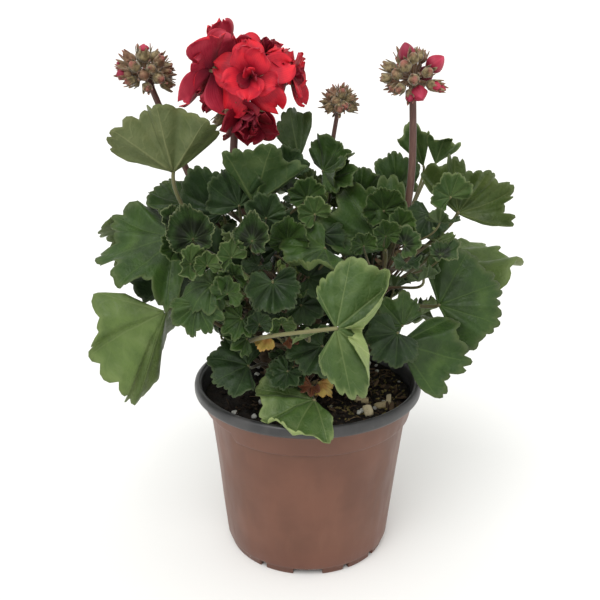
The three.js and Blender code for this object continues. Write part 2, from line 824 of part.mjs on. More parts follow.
function makeBudHead(row, extra) {
  const top = vector(row.bend[3]);
  let solid = makeStalk(row, row.stalkRadius, extra);
  solid = solid.add(knotAt(row, row.stalkRadius + budShape.knotWall + extra));
  const { length, radius, sides, widest } = budShape;
  for (let i = 0; i < row.count; i += 1) {
    const quaternion = turnedTo(budDirection(i, row.count));
    const points = [
      new THREE.Vector2(0, 0.5 * row.stalkRadius),
      new THREE.Vector2(radius + extra, row.reach + widest * length),
      new THREE.Vector2(0, row.reach + length + extra),
    ];
    const bud = new THREE.LatheGeometry(points, sides).rotateX(Math.PI / 2);
    solid = solid.add(placed(bud, quaternion, top));
  }
  return solid;
}

// Placing. Neighbours touch on the real plant, so where two pieces would share space the
// later one is trimmed to stand clear of the earlier one.

const group = new THREE.Group();
const placedPieces = [];

function boxesMeet(a, b) {
  return [0, 1, 2].every((axis) => a.min[axis] <= b.max[axis] && b.min[axis] <= a.max[axis]);
}

function largestBody(solid) {
  const bodies = solid.decompose();
  return bodies.reduce((best, body) => (body.volume() > best.volume() ? body : best));
}

function add(name, make, colour, roughness, growth = clearance) {
  let solid = make(0);
  for (const other of placedPieces) {
    if (boxesMeet(solid.boundingBox(), other.box)) solid = solid.subtract(other.grown);
  }
  solid = largestBody(solid);
  const grown = make(growth);
  placedPieces.push({ grown, box: grown.boundingBox() });
  const material = new THREE.MeshStandardMaterial({ color: colour, roughness, metalness: 0 });
  const mesh = new THREE.Mesh(geometryFrom(solid), material);
  mesh.name = name;
  group.add(mesh);
}

add("stems", makeBranches, colours.stem, 0.8);
add("pot", makePot, colours.pot, 0.5, 0);
add("soil", makeSoil, colours.soil, 0.95);
add(openHead.name, makeOpenHeadStalk, colours.flowerStalk, 0.6);
for (const row of budHeadRows) {
  add(row.name, (extra) => makeBudHead(row, extra), colours.bud, 0.6);
}
for (const row of floretRows) {
  add(row.name, (extra) => makeFloret(row, extra), colours.petal, 0.5);
}
for (const row of leafRows) {
  add(row.name, (extra) => makeLeaf(row, extra), colours[row.tone ?? "leaf"], 0.5);
}

export default group;
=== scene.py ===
import math

import bmesh
import bpy
import numpy as np
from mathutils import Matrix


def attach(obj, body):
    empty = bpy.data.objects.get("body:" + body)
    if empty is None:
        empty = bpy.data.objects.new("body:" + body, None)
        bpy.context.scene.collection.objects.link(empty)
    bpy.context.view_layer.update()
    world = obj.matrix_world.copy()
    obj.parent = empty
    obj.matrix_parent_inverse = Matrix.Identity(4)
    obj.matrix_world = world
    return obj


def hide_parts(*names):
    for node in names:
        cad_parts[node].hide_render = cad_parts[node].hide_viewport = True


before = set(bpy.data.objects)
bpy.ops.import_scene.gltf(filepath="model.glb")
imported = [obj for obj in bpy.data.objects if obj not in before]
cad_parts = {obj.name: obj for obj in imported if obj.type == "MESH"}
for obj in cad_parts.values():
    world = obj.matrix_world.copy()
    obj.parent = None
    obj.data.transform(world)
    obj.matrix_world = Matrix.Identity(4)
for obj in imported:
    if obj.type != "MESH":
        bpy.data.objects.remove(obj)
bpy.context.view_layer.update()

# A potted pelargonium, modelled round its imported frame. The tables are in millimetres, in
# the frame's own axes: the front of the plant faces -Y, and +X is on the viewer's right.

MM = 0.001
golden_angle = math.pi * (3 - math.sqrt(5))

# The photograph's viewpoint.

CAMERA_PLACE = (-0.0045, -0.455, 0.312)
CAMERA_PITCH = 19.5
LENS = 51
SENSOR = 36
CLIP_START = 0.01


def make_camera():
    data = bpy.data.cameras.new("photo_view")
    data.lens = LENS
    data.sensor_width = SENSOR
    data.clip_start = CLIP_START
    camera = bpy.data.objects.new("photo_view", data)
    camera.location = CAMERA_PLACE
    camera.rotation_euler = (math.radians(90 - CAMERA_PITCH), 0, 0)
    bpy.context.collection.objects.link(camera)
    bpy.context.scene.camera = camera


make_camera()

# Driving sizes.

pot = {
    "height": 104,
    "rim_radius": 66,
    "rim_depth": 6,
    "foot_radius": 47,
    "foot_width": 2.4,
    "foot_height": 4,
    "foot_curve": 49,
    "shoulder_height": 83,
    "shoulder_radius": 57,
    "shoulder_step": 2.3,
    "collar_radius": 62.2,
    "wall": 1.3,
    "corners": 240,
}

# The shoulder is raised over these turns, in degrees, and drops again in a short jog.
raised_shoulder = {"rise": 5, "sectors": [(-190, -132), (-10, 48)], "jog": 3.5}

foot_notches = [(-90, 17), (-123, 4), (-62, 4), (-38, 4), (155, 4), (90, 17), (52, 4), (10, 4)]
notch_height = 3.2

drain_holes = {"count": 6, "ring_radius": 31, "radius": 4, "segments": 28, "depth": 6}

soil = {"level": 94.5, "crown": 1.8, "lump": 1.1, "clearance": 0.35, "corners": 180, "rings": 62}

blade = {
    "thickness": 0.55,
    "lobe_depth": 0.12,
    "vein_spacing": 0.68,
    "teeth_per_lobe": 4,
    "tooth_depth": 0.06,
    "tooth_roundness": 0.6,
    "columns_per_lobe": 16,
    "crease_share": 0.14,
    "pleat": 0.06,
    "cup_turn": 2.2,
    "saddle": 0.07,
    "vein_relief": 0.3,
    "warp": 0.075,
    "dimples": 0.3,
    "innermost": 0.03,
}

leaf_stalk = {
    "radius": 1.1,
    "large_blade": 28,
    "small_blade": 12,
    "shares": {"large": 1.15, "middle": 0.85, "small": 0.6},
}

branches = {
    "middle": {"radius": 4, "bend": [(0, 3, 78), (-4, 5, 120), (-26, 6, 165), (-34, 2, 204)]},
    "left": {"radius": 4.2, "bend": [(-14, -3, 78), (-16, -6, 110), (-38, -8, 140), (-44, 4, 186)]},
    "right": {"radius": 4.2, "bend": [(15, -4, 78), (20, -8, 115), (38, -10, 140), (47, -2, 190)]},
    "front": {"radius": 3.4, "bend": [(2, -14, 78), (2, -20, 105), (-8, -24, 135), (-12, -20, 170)]},
    "back": {"radius": 3.8, "bend": [(2, 18, 78), (4, 26, 115), (8, 34, 150), (10, 30, 198)]},
}

# One row for each leaf. It grows from a branch at a height. hub is where the leaf stalk meets
# the blade, tip is the end of the middle vein, and face is the way the upper side looks.
# spread is how far the blade reaches round the hub on each side, in radians, and base how
# soon it narrows there. narrowing makes the lobes at the sides shorter, and lobes is the
# depth of the notches between them. cup, fold, droop, saddle, ruffle, frill and pleat bend
# the blade, and a curl rolls the margin over a crease, which starts at a share of the way
# out. handles are the middle points of a leaf stalk's bend, where its own rule won't do.


def leaf_row(name, branch, height, hub, tip, face, **form):
    return {"name": name, "branch": branch, "height": height, "hub": hub, "tip": tip, "face": face, **form}


# Forms that several leaves share.
ruffled = {"ruffle": 0.12, "frill": 0.07}
softly_ruffled = {"ruffle": 0.12, "frill": 0.06}
crumpled = {"ruffle": 0.14, "frill": 0.07}
pleated = {"ruffle": 0.16, "pleat": 0.09}
wavy = {"ruffle": 0.26, "pleat": 0.11}
small_cup = {"cup": 0.6, "ruffle": 0.3, "frill": 0.08, "lobes": 0.1, "pleat": 0.1}
zoned_cup = {
    "cup": 0.7, "ruffle": 0.3, "frill": 0.1, "lobes": 0.1, "tone": "zoned", "pleat": 0.11, "saddle": 0.14,
}

leaf_rows = [
    leaf_row("leaf_upper_left", "left", 176, (-71, -12, 226), (-76, -22, 264), (0.05, 0.95, 0.25),
        spread=1.1, base=0.12, narrowing=0, droop=0.35, ruffle=0.1, tone="olive", lobes=0.16, pleat=0.07),
    leaf_row("leaf_left_large", "left", 150, (-70, -24, 194), (-114, -30, 192), (-0.2, -0.5, 0.85),
        spread=2.0, fold=-0.2, droop=0.35, ruffle=0.12, lobes=0.24, pleat=0.08, frill=0.05),
    leaf_row("leaf_left_shaded", "left", 138, (-72, 2, 172), (-104, -6, 168), (-0.1, -0.35, 0.95),
        spread=2.2, droop=0.4, tone="shaded"),
    leaf_row("leaf_left_zoned", "left", 168, (-57, -52, 201), (-60, -45, 221), (-0.05, -0.62, 0.75),
        spread=2.7, **zoned_cup),
    leaf_row("leaf_left_upright", "left", 178, (-46, -14, 205), (-57, -6, 228), (-0.2, -0.85, 0.4),
        spread=1.8, **pleated, cup=0.25, frill=0.04, tone="shaded"),
    leaf_row("leaf_left_upright_small", "front", 162, (-36, -24, 211), (-43, -18, 230), (0.15, -0.85, 0.4),
        spread=1.8, **pleated, cup=0.3, frill=0.06, tone="shaded"),
    leaf_row("leaf_middle_zoned", "middle", 168, (-28, -52, 200), (-24, -46, 215), (0.05, -0.62, 0.75),
        spread=2.8, **zoned_cup),
    leaf_row("leaf_front_left_small", "front", 150, (-37, -59, 184), (-39, -62, 196), (-0.1, -0.7, 0.65),
        spread=2.6, **small_cup),
    leaf_row("leaf_front_left_lobed", "left", 135, (-55, -60, 170), (-60, -67, 155), (-0.25, -0.8, 0.35),
        spread=2.0, lobes=0.24, droop=0.3, ruffle=0.12, frill=0.05, pleat=0.09),
    leaf_row("leaf_front_middle_dark", "front", 145, (-18, -56, 180), (-17, -61, 163), (0.05, -0.85, 0.4),
        spread=2.5, cup=0.35, frill=0.05, tone="shaded", ruffle=0.24, pleat=0.09, saddle=0.1),
    leaf_row("leaf_middle_small", "front", 164, (-11, -34, 195), (-10, -34, 213), (0.05, -0.8, 0.5),
        spread=2.4, **small_cup),
    leaf_row("leaf_middle_rolled", "front", 160, (8, -44, 194), (-15, -53, 190), (-0.1, -0.45, 0.9),
        spread=2, curl={"centre": 0.7, "width": 1.2, "turn": 1.6, "start": 0.6}),
    leaf_row("leaf_upper_middle", "middle", 192, (-28, -22, 211), (-20, -24, 246), (-0.15, 0.9, 0.3),
        spread=0.85, base=0.12, narrowing=0, droop=0.3, ruffle=0.12, tone="backlit", lobes=0.18,
        pleat=0.08),
    leaf_row("leaf_top_upright", "middle", 200, (-5, 8, 229), (-12, 13, 257), (-0.3, 0.75, 0.2),
        spread=0.65, base=0.15, droop=0.3, ruffle=0.1, tone="shaded"),
    leaf_row("leaf_top_small", "back", 184, (8, 8, 223), (26, 4, 234), (0.1, -0.6, 0.75),
        spread=2, **wavy, cup=0.3, frill=0.06),
    leaf_row("leaf_middle_large", "right", 160, (41, -20, 186), (18, -10, 220), (-0.15, -0.85, 0.4),
        spread=1.15, droop=0.15, lobes=0.2, curl={"centre": 1.15, "width": 0.5, "turn": 1.8, "start": 0.62},
        ruffle=0.12, pleat=0.08, frill=0.05),
    leaf_row("leaf_right_pale", "right", 178, (66, 28, 222), (57, 31, 248), (-0.3, -0.7, 0.5),
        spread=0.55, base=0.15, cup=0.15, fold=0.3, lobes=0.25, tone="pale"),
    leaf_row("leaf_right_pale_curled", "right", 184, (72, 23, 224), (78, 24, 243), (0.25, -0.75, 0.55),
        spread=0.7, base=0.15, lobes=0.3, tone="pale",
        curl={"centre": 0.1, "width": 0.6, "turn": 1.5, "start": 0.6}),
    leaf_row("leaf_right_large", "right", 166, (81, -6, 203), (100, 9, 224), (0.0, -0.75, 0.65),
        spread=1.6, **softly_ruffled, cup=0.3, lobes=0.22, pleat=0.08, narrowing=0.0, tone="olive"),
    leaf_row("leaf_right_inner", "right", 158, (66, -4, 202), (60, -10, 190), (0.1, -0.8, 0.5),
        spread=2.2, tone="shaded"),
    leaf_row("leaf_right_inner_small", "right", 174, (40, -14, 206), (37, -14, 222), (-0.1, -0.75, 0.6),
        spread=2.5, cup=0.48, frill=0.06, lobes=0.08),
    leaf_row("leaf_centre_high", "back", 178, (28, 8, 207), (31, 10, 226), (0.1, -0.75, 0.6),
        spread=1.9, **wavy, cup=0.2, frill=0.04),
    leaf_row("leaf_centre_right", "right", 182, (49, 16, 210), (48, 18, 232), (0.1, -0.75, 0.5),
        spread=1.2, fold=0.4, frill=0.05),
    leaf_row("leaf_right_far", "right", 150, (73, 26, 171), (126, 22, 165), (0.1, -0.3, 0.95),
        spread=0.85, droop=0.1, ruffle=0.1, tone="lit", narrowing=0.8, base=0.3),
    leaf_row("leaf_right_round", "right", 146, (71, -20, 155), (106, -12, 166), (0.05, -0.85, 0.5),
        spread=1.5, droop=0.3, lobes=0.12, ruffle=0.08),
    leaf_row("leaf_lower_right", "right", 118, (47, -40, 140), (90, -45, 135), (0.15, -0.75, 0.6),
        spread=0.9, droop=0.3, fold=-0.2, lobes=0.2, narrowing=0.8, ruffle=0.12, base=0.3),
    leaf_row("leaf_lower_right_inner", "right", 128, (50, -33, 148), (38, -36, 164), (-0.05, -0.8, 0.6),
        spread=2.1, **pleated, lobes=0.2, cup=0.1),
    leaf_row("leaf_lower_right_small", "front", 112, (46, -46, 149), (33, -53, 137), (0.0, -0.85, 0.5),
        spread=2, tone="shaded"),
    leaf_row("leaf_front_folded", "left", 110, (13, -75, 163), (56, -77, 164), (-0.05, -0.95, 0.3),
        spread=2.15, handles=[(-50, -30, 140), (-30, -66, 154)], base=0.7, lobes=0.1, narrowing=0.3,
        pleat=0.05, frill=0.02, tone="pale",
        curl={"centre": -0.17, "width": 1.15, "turn": 2.7, "start": 0.27, "notch": 0.56}, ruffle=0.08),
    leaf_row("leaf_front_shaded", "front", 108, (7, -42, 140), (-12, -47, 136), (-0.05, -0.7, 0.7),
        spread=2.1, tone="shaded"),
    leaf_row("leaf_front_on_rim", "front", 99, (3, -47, 111), (-27, -62, 110), (-0.05, -0.25, 0.96),
        spread=1.7, curl={"centre": 0.7, "width": 1, "turn": 1.4, "start": 0.7}, tone="pale", ruffle=0.08),
    leaf_row("leaf_lower_left_small", "left", 112, (-32, -40, 128), (-53, -42, 135), (-0.1, -0.7, 0.7),
        spread=2.1, tone="shaded"),
    leaf_row("leaf_young_left", "front", 136, (-34, -54, 160), (-44, -61, 156), (-0.15, -0.8, 0.5),
        spread=2.3, **crumpled, lobes=0.25),
    leaf_row("leaf_young_right", "front", 130, (-14, -54, 157), (-14, -57, 167), (0.1, -0.7, 0.65),
        spread=2.6, cup=0.55, ruffle=0.14, frill=0.08, tone="bright", slot="pale"),
    leaf_row("leaf_left_drooping", "left", 128, (-75, -35, 157), (-94, -32, 96), (0.5, -0.7, -0.2),
        spread=1.5, handles=[(-40, -10, 128), (-68, -24, 164)], fold=-0.7, droop=0.15, tone="lit",
        narrowing=0.8, base=0.2),
    leaf_row("leaf_front_low", "left", 104, (-8, -40, 127), (-18, -45, 120), (-0.1, -0.75, 0.6),
        spread=2.3, **ruffled, cup=0.2, tone="shaded"),
    leaf_row("leaf_back_left_high", "middle", 186, (-54, 38, 204), (-84, 58, 208), (-0.3, 0.35, 0.9),
        spread=2.4, droop=0.4),
    leaf_row("leaf_back_left", "left", 166, (-80, 44, 182), (-126, 58, 171), (-0.4, 0.5, 0.75),
        spread=2.0, droop=0.5),
    leaf_row("leaf_back_left_low", "back", 120, (-32, 60, 136), (-50, 82, 116), (-0.3, 0.7, 0.6),
        spread=2.4, droop=0.4),
    leaf_row("leaf_back_middle_high", "back", 190, (-8, 60, 206), (-16, 103, 203), (0.05, 0.3, 0.9),
        spread=2.4, droop=0.5),
    leaf_row("leaf_back_middle", "back", 156, (-8, 70, 172), (-12, 103, 152), (-0.05, 0.75, 0.65),
        spread=2.5, droop=0.3),
    leaf_row("leaf_back_middle_low", "back", 128, (18, 64, 142), (26, 86, 120), (0.15, 0.75, 0.6),
        spread=2.4, droop=0.4),
    leaf_row("leaf_back_right_high", "back", 180, (38, 52, 200), (62, 74, 204), (0.2, 0.3, 0.9),
        spread=2.4, droop=0.5),
    leaf_row("leaf_back_right", "right", 154, (52, 50, 164), (78, 76, 150), (0.35, 0.5, 0.75),
        spread=2.5, droop=0.4),
    leaf_row("leaf_back_right_low", "right", 124, (60, 32, 134), (86, 46, 116), (0.5, 0.35, 0.75),
        spread=2.4, droop=0.4),
]

# The young and small leaves that can be told apart in front. fine is how many times finer
# the blade's mesh is.
young_rows = [
    # The inner rows are leaves of the shaded tone, set deep in the middle of the plant, where they fill the
    # gaps with painted shade.
    leaf_row("inner_left", "left", 150, (-50, -12, 178), (-54, -18, 200), (0, -0.85, 0.5),
        spread=2.3, tone="shaded"),
    leaf_row("inner_middle", "middle", 160, (-16, -6, 184), (-20, -10, 208), (0, -0.85, 0.5),
        spread=2.3, tone="shaded"),
    leaf_row("inner_middle_low", "front", 124, (-14, -26, 150), (-18, -30, 172), (0, -0.85, 0.5),
        spread=2.2, tone="shaded"),
    leaf_row("inner_right", "right", 152, (16, -4, 186), (18, -8, 208), (0, -0.85, 0.5),
        spread=2.3, tone="shaded"),
    leaf_row("inner_right_high", "right", 170, (40, 6, 192), (42, 2, 212), (0, -0.85, 0.5),
        spread=2.3, tone="shaded"),
    leaf_row("behind_left", "left", 172, (-70, 4, 206), (-88, 8, 211), (-0.2, -0.4, 0.85),
        spread=2.2, cup=0.15),
    leaf_row("left_petioled", "left", 160, (-65, -49, 196), (-75, -52, 202), (0.1, -0.85, 0.5),
        spread=2.2, **softly_ruffled, cup=0.4),
    leaf_row("left_crumpled", "left", 164, (-67, -44, 207), (-75, -46, 214), (0.1, -0.75, 0.6),
        spread=2.3, **crumpled, cup=0.5, tone="zoned"),
    leaf_row("left_dome", "left", 140, (-48, -55, 178), (-66, -60, 180), (-0.1, -0.55, 0.85),
        spread=2.6, cup=-0.3, droop=0.5, fine=2),
    leaf_row("centre_pale", "front", 156, (-38, -57, 193), (-44, -60, 202), (0.1, -0.75, 0.6),
        spread=2.4, **softly_ruffled, cup=0.35, tone="bright"),
    leaf_row("centre_pale_low", "front", 152, (-40, -62, 176), (-38, -63, 187), (-0.1, -0.8, 0.5),
        spread=2.5, **crumpled, cup=0.3),
    leaf_row("cluster_left", "left", 152, (-58, -58, 190), (-64, -62, 199), (0.0, -0.7, 0.7),
        spread=2.4, **crumpled, cup=0.4, tone="bright"),
    leaf_row("cluster_right", "left", 156, (-50, -57, 189), (-50, -59, 199), (0.1, -0.7, 0.7),
        spread=2.4, **crumpled, cup=0.45, tone="bright"),
    leaf_row("low_middle", "front", 128, (-32, -49, 147), (-42, -55, 152), (-0.05, -0.8, 0.6),
        spread=2.4, **softly_ruffled, lobes=0.24),
    leaf_row("dark_cup", "front", 132, (-25, -56, 158), (-26, -58, 168), (0.0, -0.7, 0.65),
        spread=2.5, cup=0.45, frill=0.06, tone="shaded"),
    leaf_row("rim_low_dark", "front", 104, (-11, -43, 126), (-20, -48, 118), (0.0, -0.6, 0.8),
        spread=2.4, cup=0.3, frill=0.06, tone="shaded"),
    leaf_row("between_left", "middle", 176, (-22, -30, 206), (-26, -30, 220), (0.0, -0.75, 0.6),
        spread=2.4, cup=0.25, frill=0.06, tone="shaded"),
    leaf_row("between_middle", "middle", 184, (-1, -20, 214), (2, -20, 227), (0.1, -0.75, 0.6),
        spread=2.4, **ruffled, cup=0.35),
    leaf_row("between_right", "front", 164, (3, -30, 208), (-2, -31, 219), (-0.1, -0.8, 0.5),
        spread=2.4, **ruffled, cup=0.4, tone="bright"),
    leaf_row("under_middle", "front", 160, (8, -24, 196), (10, -26, 181), (0.1, -0.8, 0.5),
        spread=2.2, tone="shaded"),
    leaf_row("centre_teal", "front", 150, (0, -36, 176), (14, -38, 180), (0.1, -0.75, 0.6),
        spread=2.4, cup=0.15, tone="shaded"),
    leaf_row("centre_teal_low", "front", 142, (-4, -34, 160), (8, -37, 155), (0.1, -0.75, 0.6),
        spread=2.4, cup=0.15, tone="shaded"),
    leaf_row("top_beside", "middle", 196, (-12, -4, 224), (-14, -4, 240), (0.1, -0.8, 0.5),
        spread=1.9, cup=0.2, frill=0.06, tone="shaded"),
    leaf_row("top_spread", "back", 188, (12, 2, 220), (27, -2, 226), (-0.1, -0.7, 0.7),
        spread=1.5, cup=0.2, frill=0.06),
    leaf_row("right_ruffle_a", "right", 170, (48, -22, 200), (46, -22, 211), (0.0, -0.75, 0.6),
        spread=2.5, **ruffled, cup=0.4),
    leaf_row("right_ruffle_b", "right", 166, (40, -28, 196), (37, -30, 207), (-0.1, -0.7, 0.65),
        spread=2.4, **ruffled, cup=0.4),
    leaf_row("right_ruffle_c", "right", 162, (50, -27, 191), (59, -28, 198), (0.1, -0.75, 0.6),
        spread=2.4, **ruffled, cup=0.35, tone="zoned"),
    leaf_row("right_ruffle_d", "right", 160, (28, -36, 193), (24, -37, 202), (-0.2, -0.7, 0.6),
        spread=2.4, cup=0.4, ruffle=0.12, frill=0.12),
    leaf_row("right_bowl", "right", 182, (76, -8, 212), (70, -8, 226), (-0.1, -0.75, 0.6),
        spread=2.2, **softly_ruffled, cup=0.35, tone="bright"),
    leaf_row("old_yellow", "front", 122, (-21, -48, 149), (-24, -51, 141), (-0.2, -0.8, 0.4),
        spread=1.1, base=0.2, ruffle=0.2, cup=0.3, tone="yellow"),
    leaf_row("old_yellow_low", "front", 102, (5, -40, 118), (13, -46, 117), (0.2, -0.6, 0.7),
        spread=1.4, ruffle=0.2, cup=-0.4, tone="yellow"),
    leaf_row("old_brown", "front", 118, (-11, -46, 146), (-4, -50, 142), (0.2, -0.8, 0.4),
        spread=1.4, lobes=0.3, ruffle=0.2, cup=0.6, tone="brown"),
    leaf_row("old_brown_low", "front", 100, (2, -42, 117), (-5, -48, 113), (0.0, -0.5, 0.8),
        spread=1.8, lobes=0.3, ruffle=0.2, cup=0.5, tone="brown"),
]

# Where the rest of the small leaves grow. counts is how many are tried on each branch, from
# the lowest height up. radius, reach and rise are the ranges that a leaf's size and place
# are picked from. It takes the roomiest of so many tries. closeness is the share of their
# radii that two leaves keep apart, and a leaf with less than the least room is left out.
filling = {
    "counts": {"middle": 26, "left": 24, "right": 26, "front": 16, "back": 28},
    "lowest": 116,
    "radius": (10, 17),
    "reach": (8, 36),
    "rise": (0, 24),
    "tries": 50,
    "closeness": 0.56,
    "least_room": -4,
}
shoot = {"count": 5, "radius": 7}

# The starts of the random draws.
seeds = {"filling": 12, "shoots": 31, "open_head": 5, "litter": 21, "stipules": 8}

# The flower stalks. Each is a smooth bend from a branch to the middle of its head.

open_head = {
    "radius": 2.1,
    "bend": [(-34, 2, 202), (-42, 0, 218), (-41, 0, 240), (-37, 0, 258)],
}

# centre is the middle of the petals, face is the way the flower looks, cup is how far the
# petals close over its middle, and width makes them broader.
floret_rows = [
    {"name": "left", "centre": (-52, -3, 279), "face": (-0.72, 0.6, 0.25), "radius": 22, "cup": 0.0},
    {"name": "left_top", "centre": (-46, 14, 289), "face": (-0.4, 0.4, 0.8), "radius": 14, "cup": 0.35},
    {"name": "top", "centre": (-22, 4, 288), "face": (0.2, -0.4, 0.9), "radius": 16, "cup": 0.15},
    {"name": "front", "centre": (-29, -20, 276), "face": (0, -1, 0.15), "radius": 19, "cup": 0.05},
    {"name": "right", "centre": (-7, 2, 275), "face": (0.85, -0.5, 0.1), "radius": 15, "cup": 0.15},
    {
        "name": "hanging", "centre": (-31, -11, 253), "face": (0.25, -0.92, -0.3), "radius": 12, "cup": 0.95,
        "width": 1.7,
    },
    {"name": "back", "centre": (-28, 24, 277), "face": (0.25, 0.95, 0.2), "radius": 16, "cup": 0.15},
    {"name": "back_low", "centre": (-50, 18, 266), "face": (-0.6, 0.75, -0.05), "radius": 13, "cup": 0.4},
]

# reach is the length of the pedicels. coloured buds stand at these directions, with a
# length and the share of it that their own petals make up.
bud_head_rows = [
    {
        "name": "left", "radius": 1.8, "count": 24, "reach": 8,
        "bend": [(-44, 4, 184), (-62, 6, 205), (-73, 8, 242), (-86, 9, 274)],
        "coloured": [((0.1, -0.3, 1), 9, 0.4), ((-0.7, -0.6, 0.1), 8, 0.5), ((-0.9, 0.2, 0.4), 8, 0.3)],
    },
    {
        "name": "middle", "radius": 1.3, "count": 16, "reach": 3,
        "bend": [(10, 29, 196), (11, 26, 215), (13, 22, 235), (17, 20, 258)],
        "coloured": [],
    },
    {
        "name": "right", "radius": 2, "count": 28, "reach": 10,
        "bend": [(47, -2, 188), (57, 0, 200), (57, 0, 228), (54, 0, 272)],
        "coloured": [
            ((-0.45, -0.2, 0.9), 11, 0.85), ((0.85, -0.15, 0.6), 10.5, 0.8), ((0.2, -0.95, -0.25), 9, 0.8),
            ((0.9, -0.3, -0.1), 9, 0.5), ((0.6, -0.7, -0.1), 8, 0.6), ((-0.2, -0.8, -0.6), 8, 0.4),
            ((-0.3, 0.9, 0.3), 9, 0.6), ((0.5, 0.8, 0.1), 8.5, 0.7),
        ],
    },
]
bud_shape = {
    "length": 8, "radius": 3.1, "corners": 15, "sepals": 5, "sepal_width": 2.4, "closed_share": 0.6,
}

# The small buds under the open head, one of them showing colour.
young_buds = {"count": 11, "reach": 9, "lowest": -0.75, "coloured": [((0.4, -0.5, 0.5), 9, 0.6)]}

# Meshes.


def unit(values):
    values = np.asarray(values, float)
    return values / np.linalg.norm(values, axis=-1, keepdims=True)


def smooth(low, high, value):
    share = np.clip((value - low) / (high - low), 0, 1)
    return share * share * (3 - 2 * share)


def wobble(points, size, seed, waves=7):
    """A smooth pattern of about -1 to 1 over the points, whose swells are about size across."""
    chance = np.random.default_rng(seed)
    total = 0
    for _ in range(waves):
        direction = unit(chance.normal(size=3)) * 2 * math.pi / (size * chance.uniform(0.7, 1.6))
        total = total + np.sin(points @ direction + chance.uniform(0, 2 * math.pi))
    return total / math.sqrt(waves)


def bezier(bend, steps):
    a, b, c, d = (np.array(place, float) for place in bend)
    t = np.linspace(0, 1, steps + 1)[:, None]
    return (1 - t) ** 3 * a + 3 * (1 - t) ** 2 * t * b + 3 * (1 - t) * t * t * c + t**3 * d


def basis(direction, twist=0.0):
    """Columns x, y and z of a turn that takes +Z to the direction."""
    z = unit(direction)
    helper = np.array([0, 0, 1.0]) if abs(z[2]) < 0.9 else np.array([0, 1.0, 0])
    x = unit(np.cross(helper, z))
    y = np.cross(z, x)
    x, y = x * math.cos(twist) + y * math.sin(twist), y * math.cos(twist) - x * math.sin(twist)
    return np.stack([x, y, z], axis=1)


def grid_corners(grid):
    """What a grid holds at the four corners of each of its cells."""
    cells = np.stack([grid[:-1, :-1], grid[:-1, 1:], grid[1:, 1:], grid[1:, :-1]], axis=2)
    return cells.reshape(-1, 4, *grid.shape[2:])


class Skin:
    """Bodies that become one mesh. Each face corner has two maps: flat, in tenths of a
    metre over the surface, and polar, which says how far round and along it is."""

    def __init__(self):
        self.points = []
        self.tints = []
        self.faces = []
        self.maps = []
        self.slots = []
        self.count = 0

    def add_points(self, points, tint=0.5):
        points = np.asarray(points, float).reshape(-1, 3)
        self.points.append(points)
        self.tints.append(np.broadcast_to(tint, len(points)))
        self.count += len(points)
        return self.count - len(points)

    def add_faces(self, faces, maps=None, slot=0):
        faces = np.asarray(faces)
        if maps is None:
            maps = np.zeros((*faces.shape, 4))
        self.faces.append(faces)
        self.maps.append(maps.reshape(-1, 4))
        self.slots.append(np.broadcast_to(slot, len(faces)))

    def add_sheet(self, upper, lower, maps, slots, tint):
        """A closed sheet between two grids of points."""
        rows, columns = upper.shape[:2]
        start = self.add_points(np.concatenate([upper.reshape(-1, 3), lower.reshape(-1, 3)]), tint)
        over = start + np.arange(rows * columns).reshape(rows, columns)
        under = over + rows * columns
        self.add_faces(grid_corners(over), grid_corners(maps), slots[0])
        self.add_faces(grid_corners(under)[:, ::-1], grid_corners(maps)[:, ::-1], slots[1])
        rim = [
            np.concatenate([g[0], g[1:, -1], g[-1, -2::-1], g[-2::-1, 0]])
            for g in (over, under, maps)
        ]
        edge = np.stack([rim[0][1:], rim[0][:-1], rim[1][:-1], rim[1][1:]], axis=1)
        edge_maps = np.stack([rim[2][1:], rim[2][:-1], rim[2][:-1], rim[2][1:]], axis=1)
        self.add_faces(edge, edge_maps, slots[0])

    def add_rings(self, rings, ends, maps=None, slot=0, tint=0.5):
        """A closed body of rings, with a point at each end. slot may be one for each band."""
        count, corners = rings.shape[:2]
        start = self.add_points(np.concatenate([rings.reshape(-1, 3), np.asarray(ends)]), tint)
        index = start + np.arange(count * corners).reshape(count, corners)
        index = np.concatenate([index, index[:, :1]], axis=1)
        if maps is None:
            maps = np.zeros((count, corners + 1, 4))
        bands = slot if np.ndim(slot) == 0 else np.repeat(slot, corners)
        self.add_faces(grid_corners(index), grid_corners(maps), bands)
        first = start + count * corners
        for row, tip, turned in ((0, first, True), (-1, first + 1, False)):
            here, after = index[row, :-1], index[row, 1:]
            pair = (after, here) if turned else (here, after)
            fan = np.stack([np.full(corners, tip), *pair], axis=1)
            map_pair = (maps[row, 1:], maps[row, :-1]) if turned else (maps[row, :-1], maps[row, 1:])
            fan_maps = np.stack([(map_pair[0] + map_pair[1]) / 2, *map_pair], axis=1)
            self.add_faces(fan, fan_maps, slot if np.ndim(slot) == 0 else slot[row])

    def build(self, name, materials):
        mesh = bpy.data.meshes.new(name)
        faces = [face for block in self.faces for face in block.tolist()]
        mesh.from_pydata((np.concatenate(self.points) * MM).tolist(), [], faces)
        maps = np.concatenate(self.maps)
        for label, columns in (("flat", (0, 1)), ("polar", (2, 3))):
            layer = mesh.uv_layers.new(name=label)
            layer.uv.foreach_set("vector", maps[:, columns].astype(np.float32).ravel())
        mesh.polygons.foreach_set("material_index", np.concatenate(self.slots).astype(np.int32))
        mesh.polygons.foreach_set("use_smooth", np.ones(len(mesh.polygons), bool))
        tint = mesh.attributes.new("tint", "FLOAT", "POINT")
        tint.data.foreach_set("value", np.concatenate(self.tints).astype(np.float32))
        for material in materials:
            mesh.materials.append(material)
        mesh.update()
        piece = bpy.data.objects.new(name, mesh)
        bpy.context.collection.objects.link(piece)
        return piece


def finish_piece(skin, name, materials, node=None):
    piece = skin.build(name, materials)
    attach(piece, "root")
    if node:
        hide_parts(node)
    return piece


# How far round a tube's rounded end each of its rings lies, seen from the tip inwards.
TUBE_DOME = np.radians([70, 40, 15])


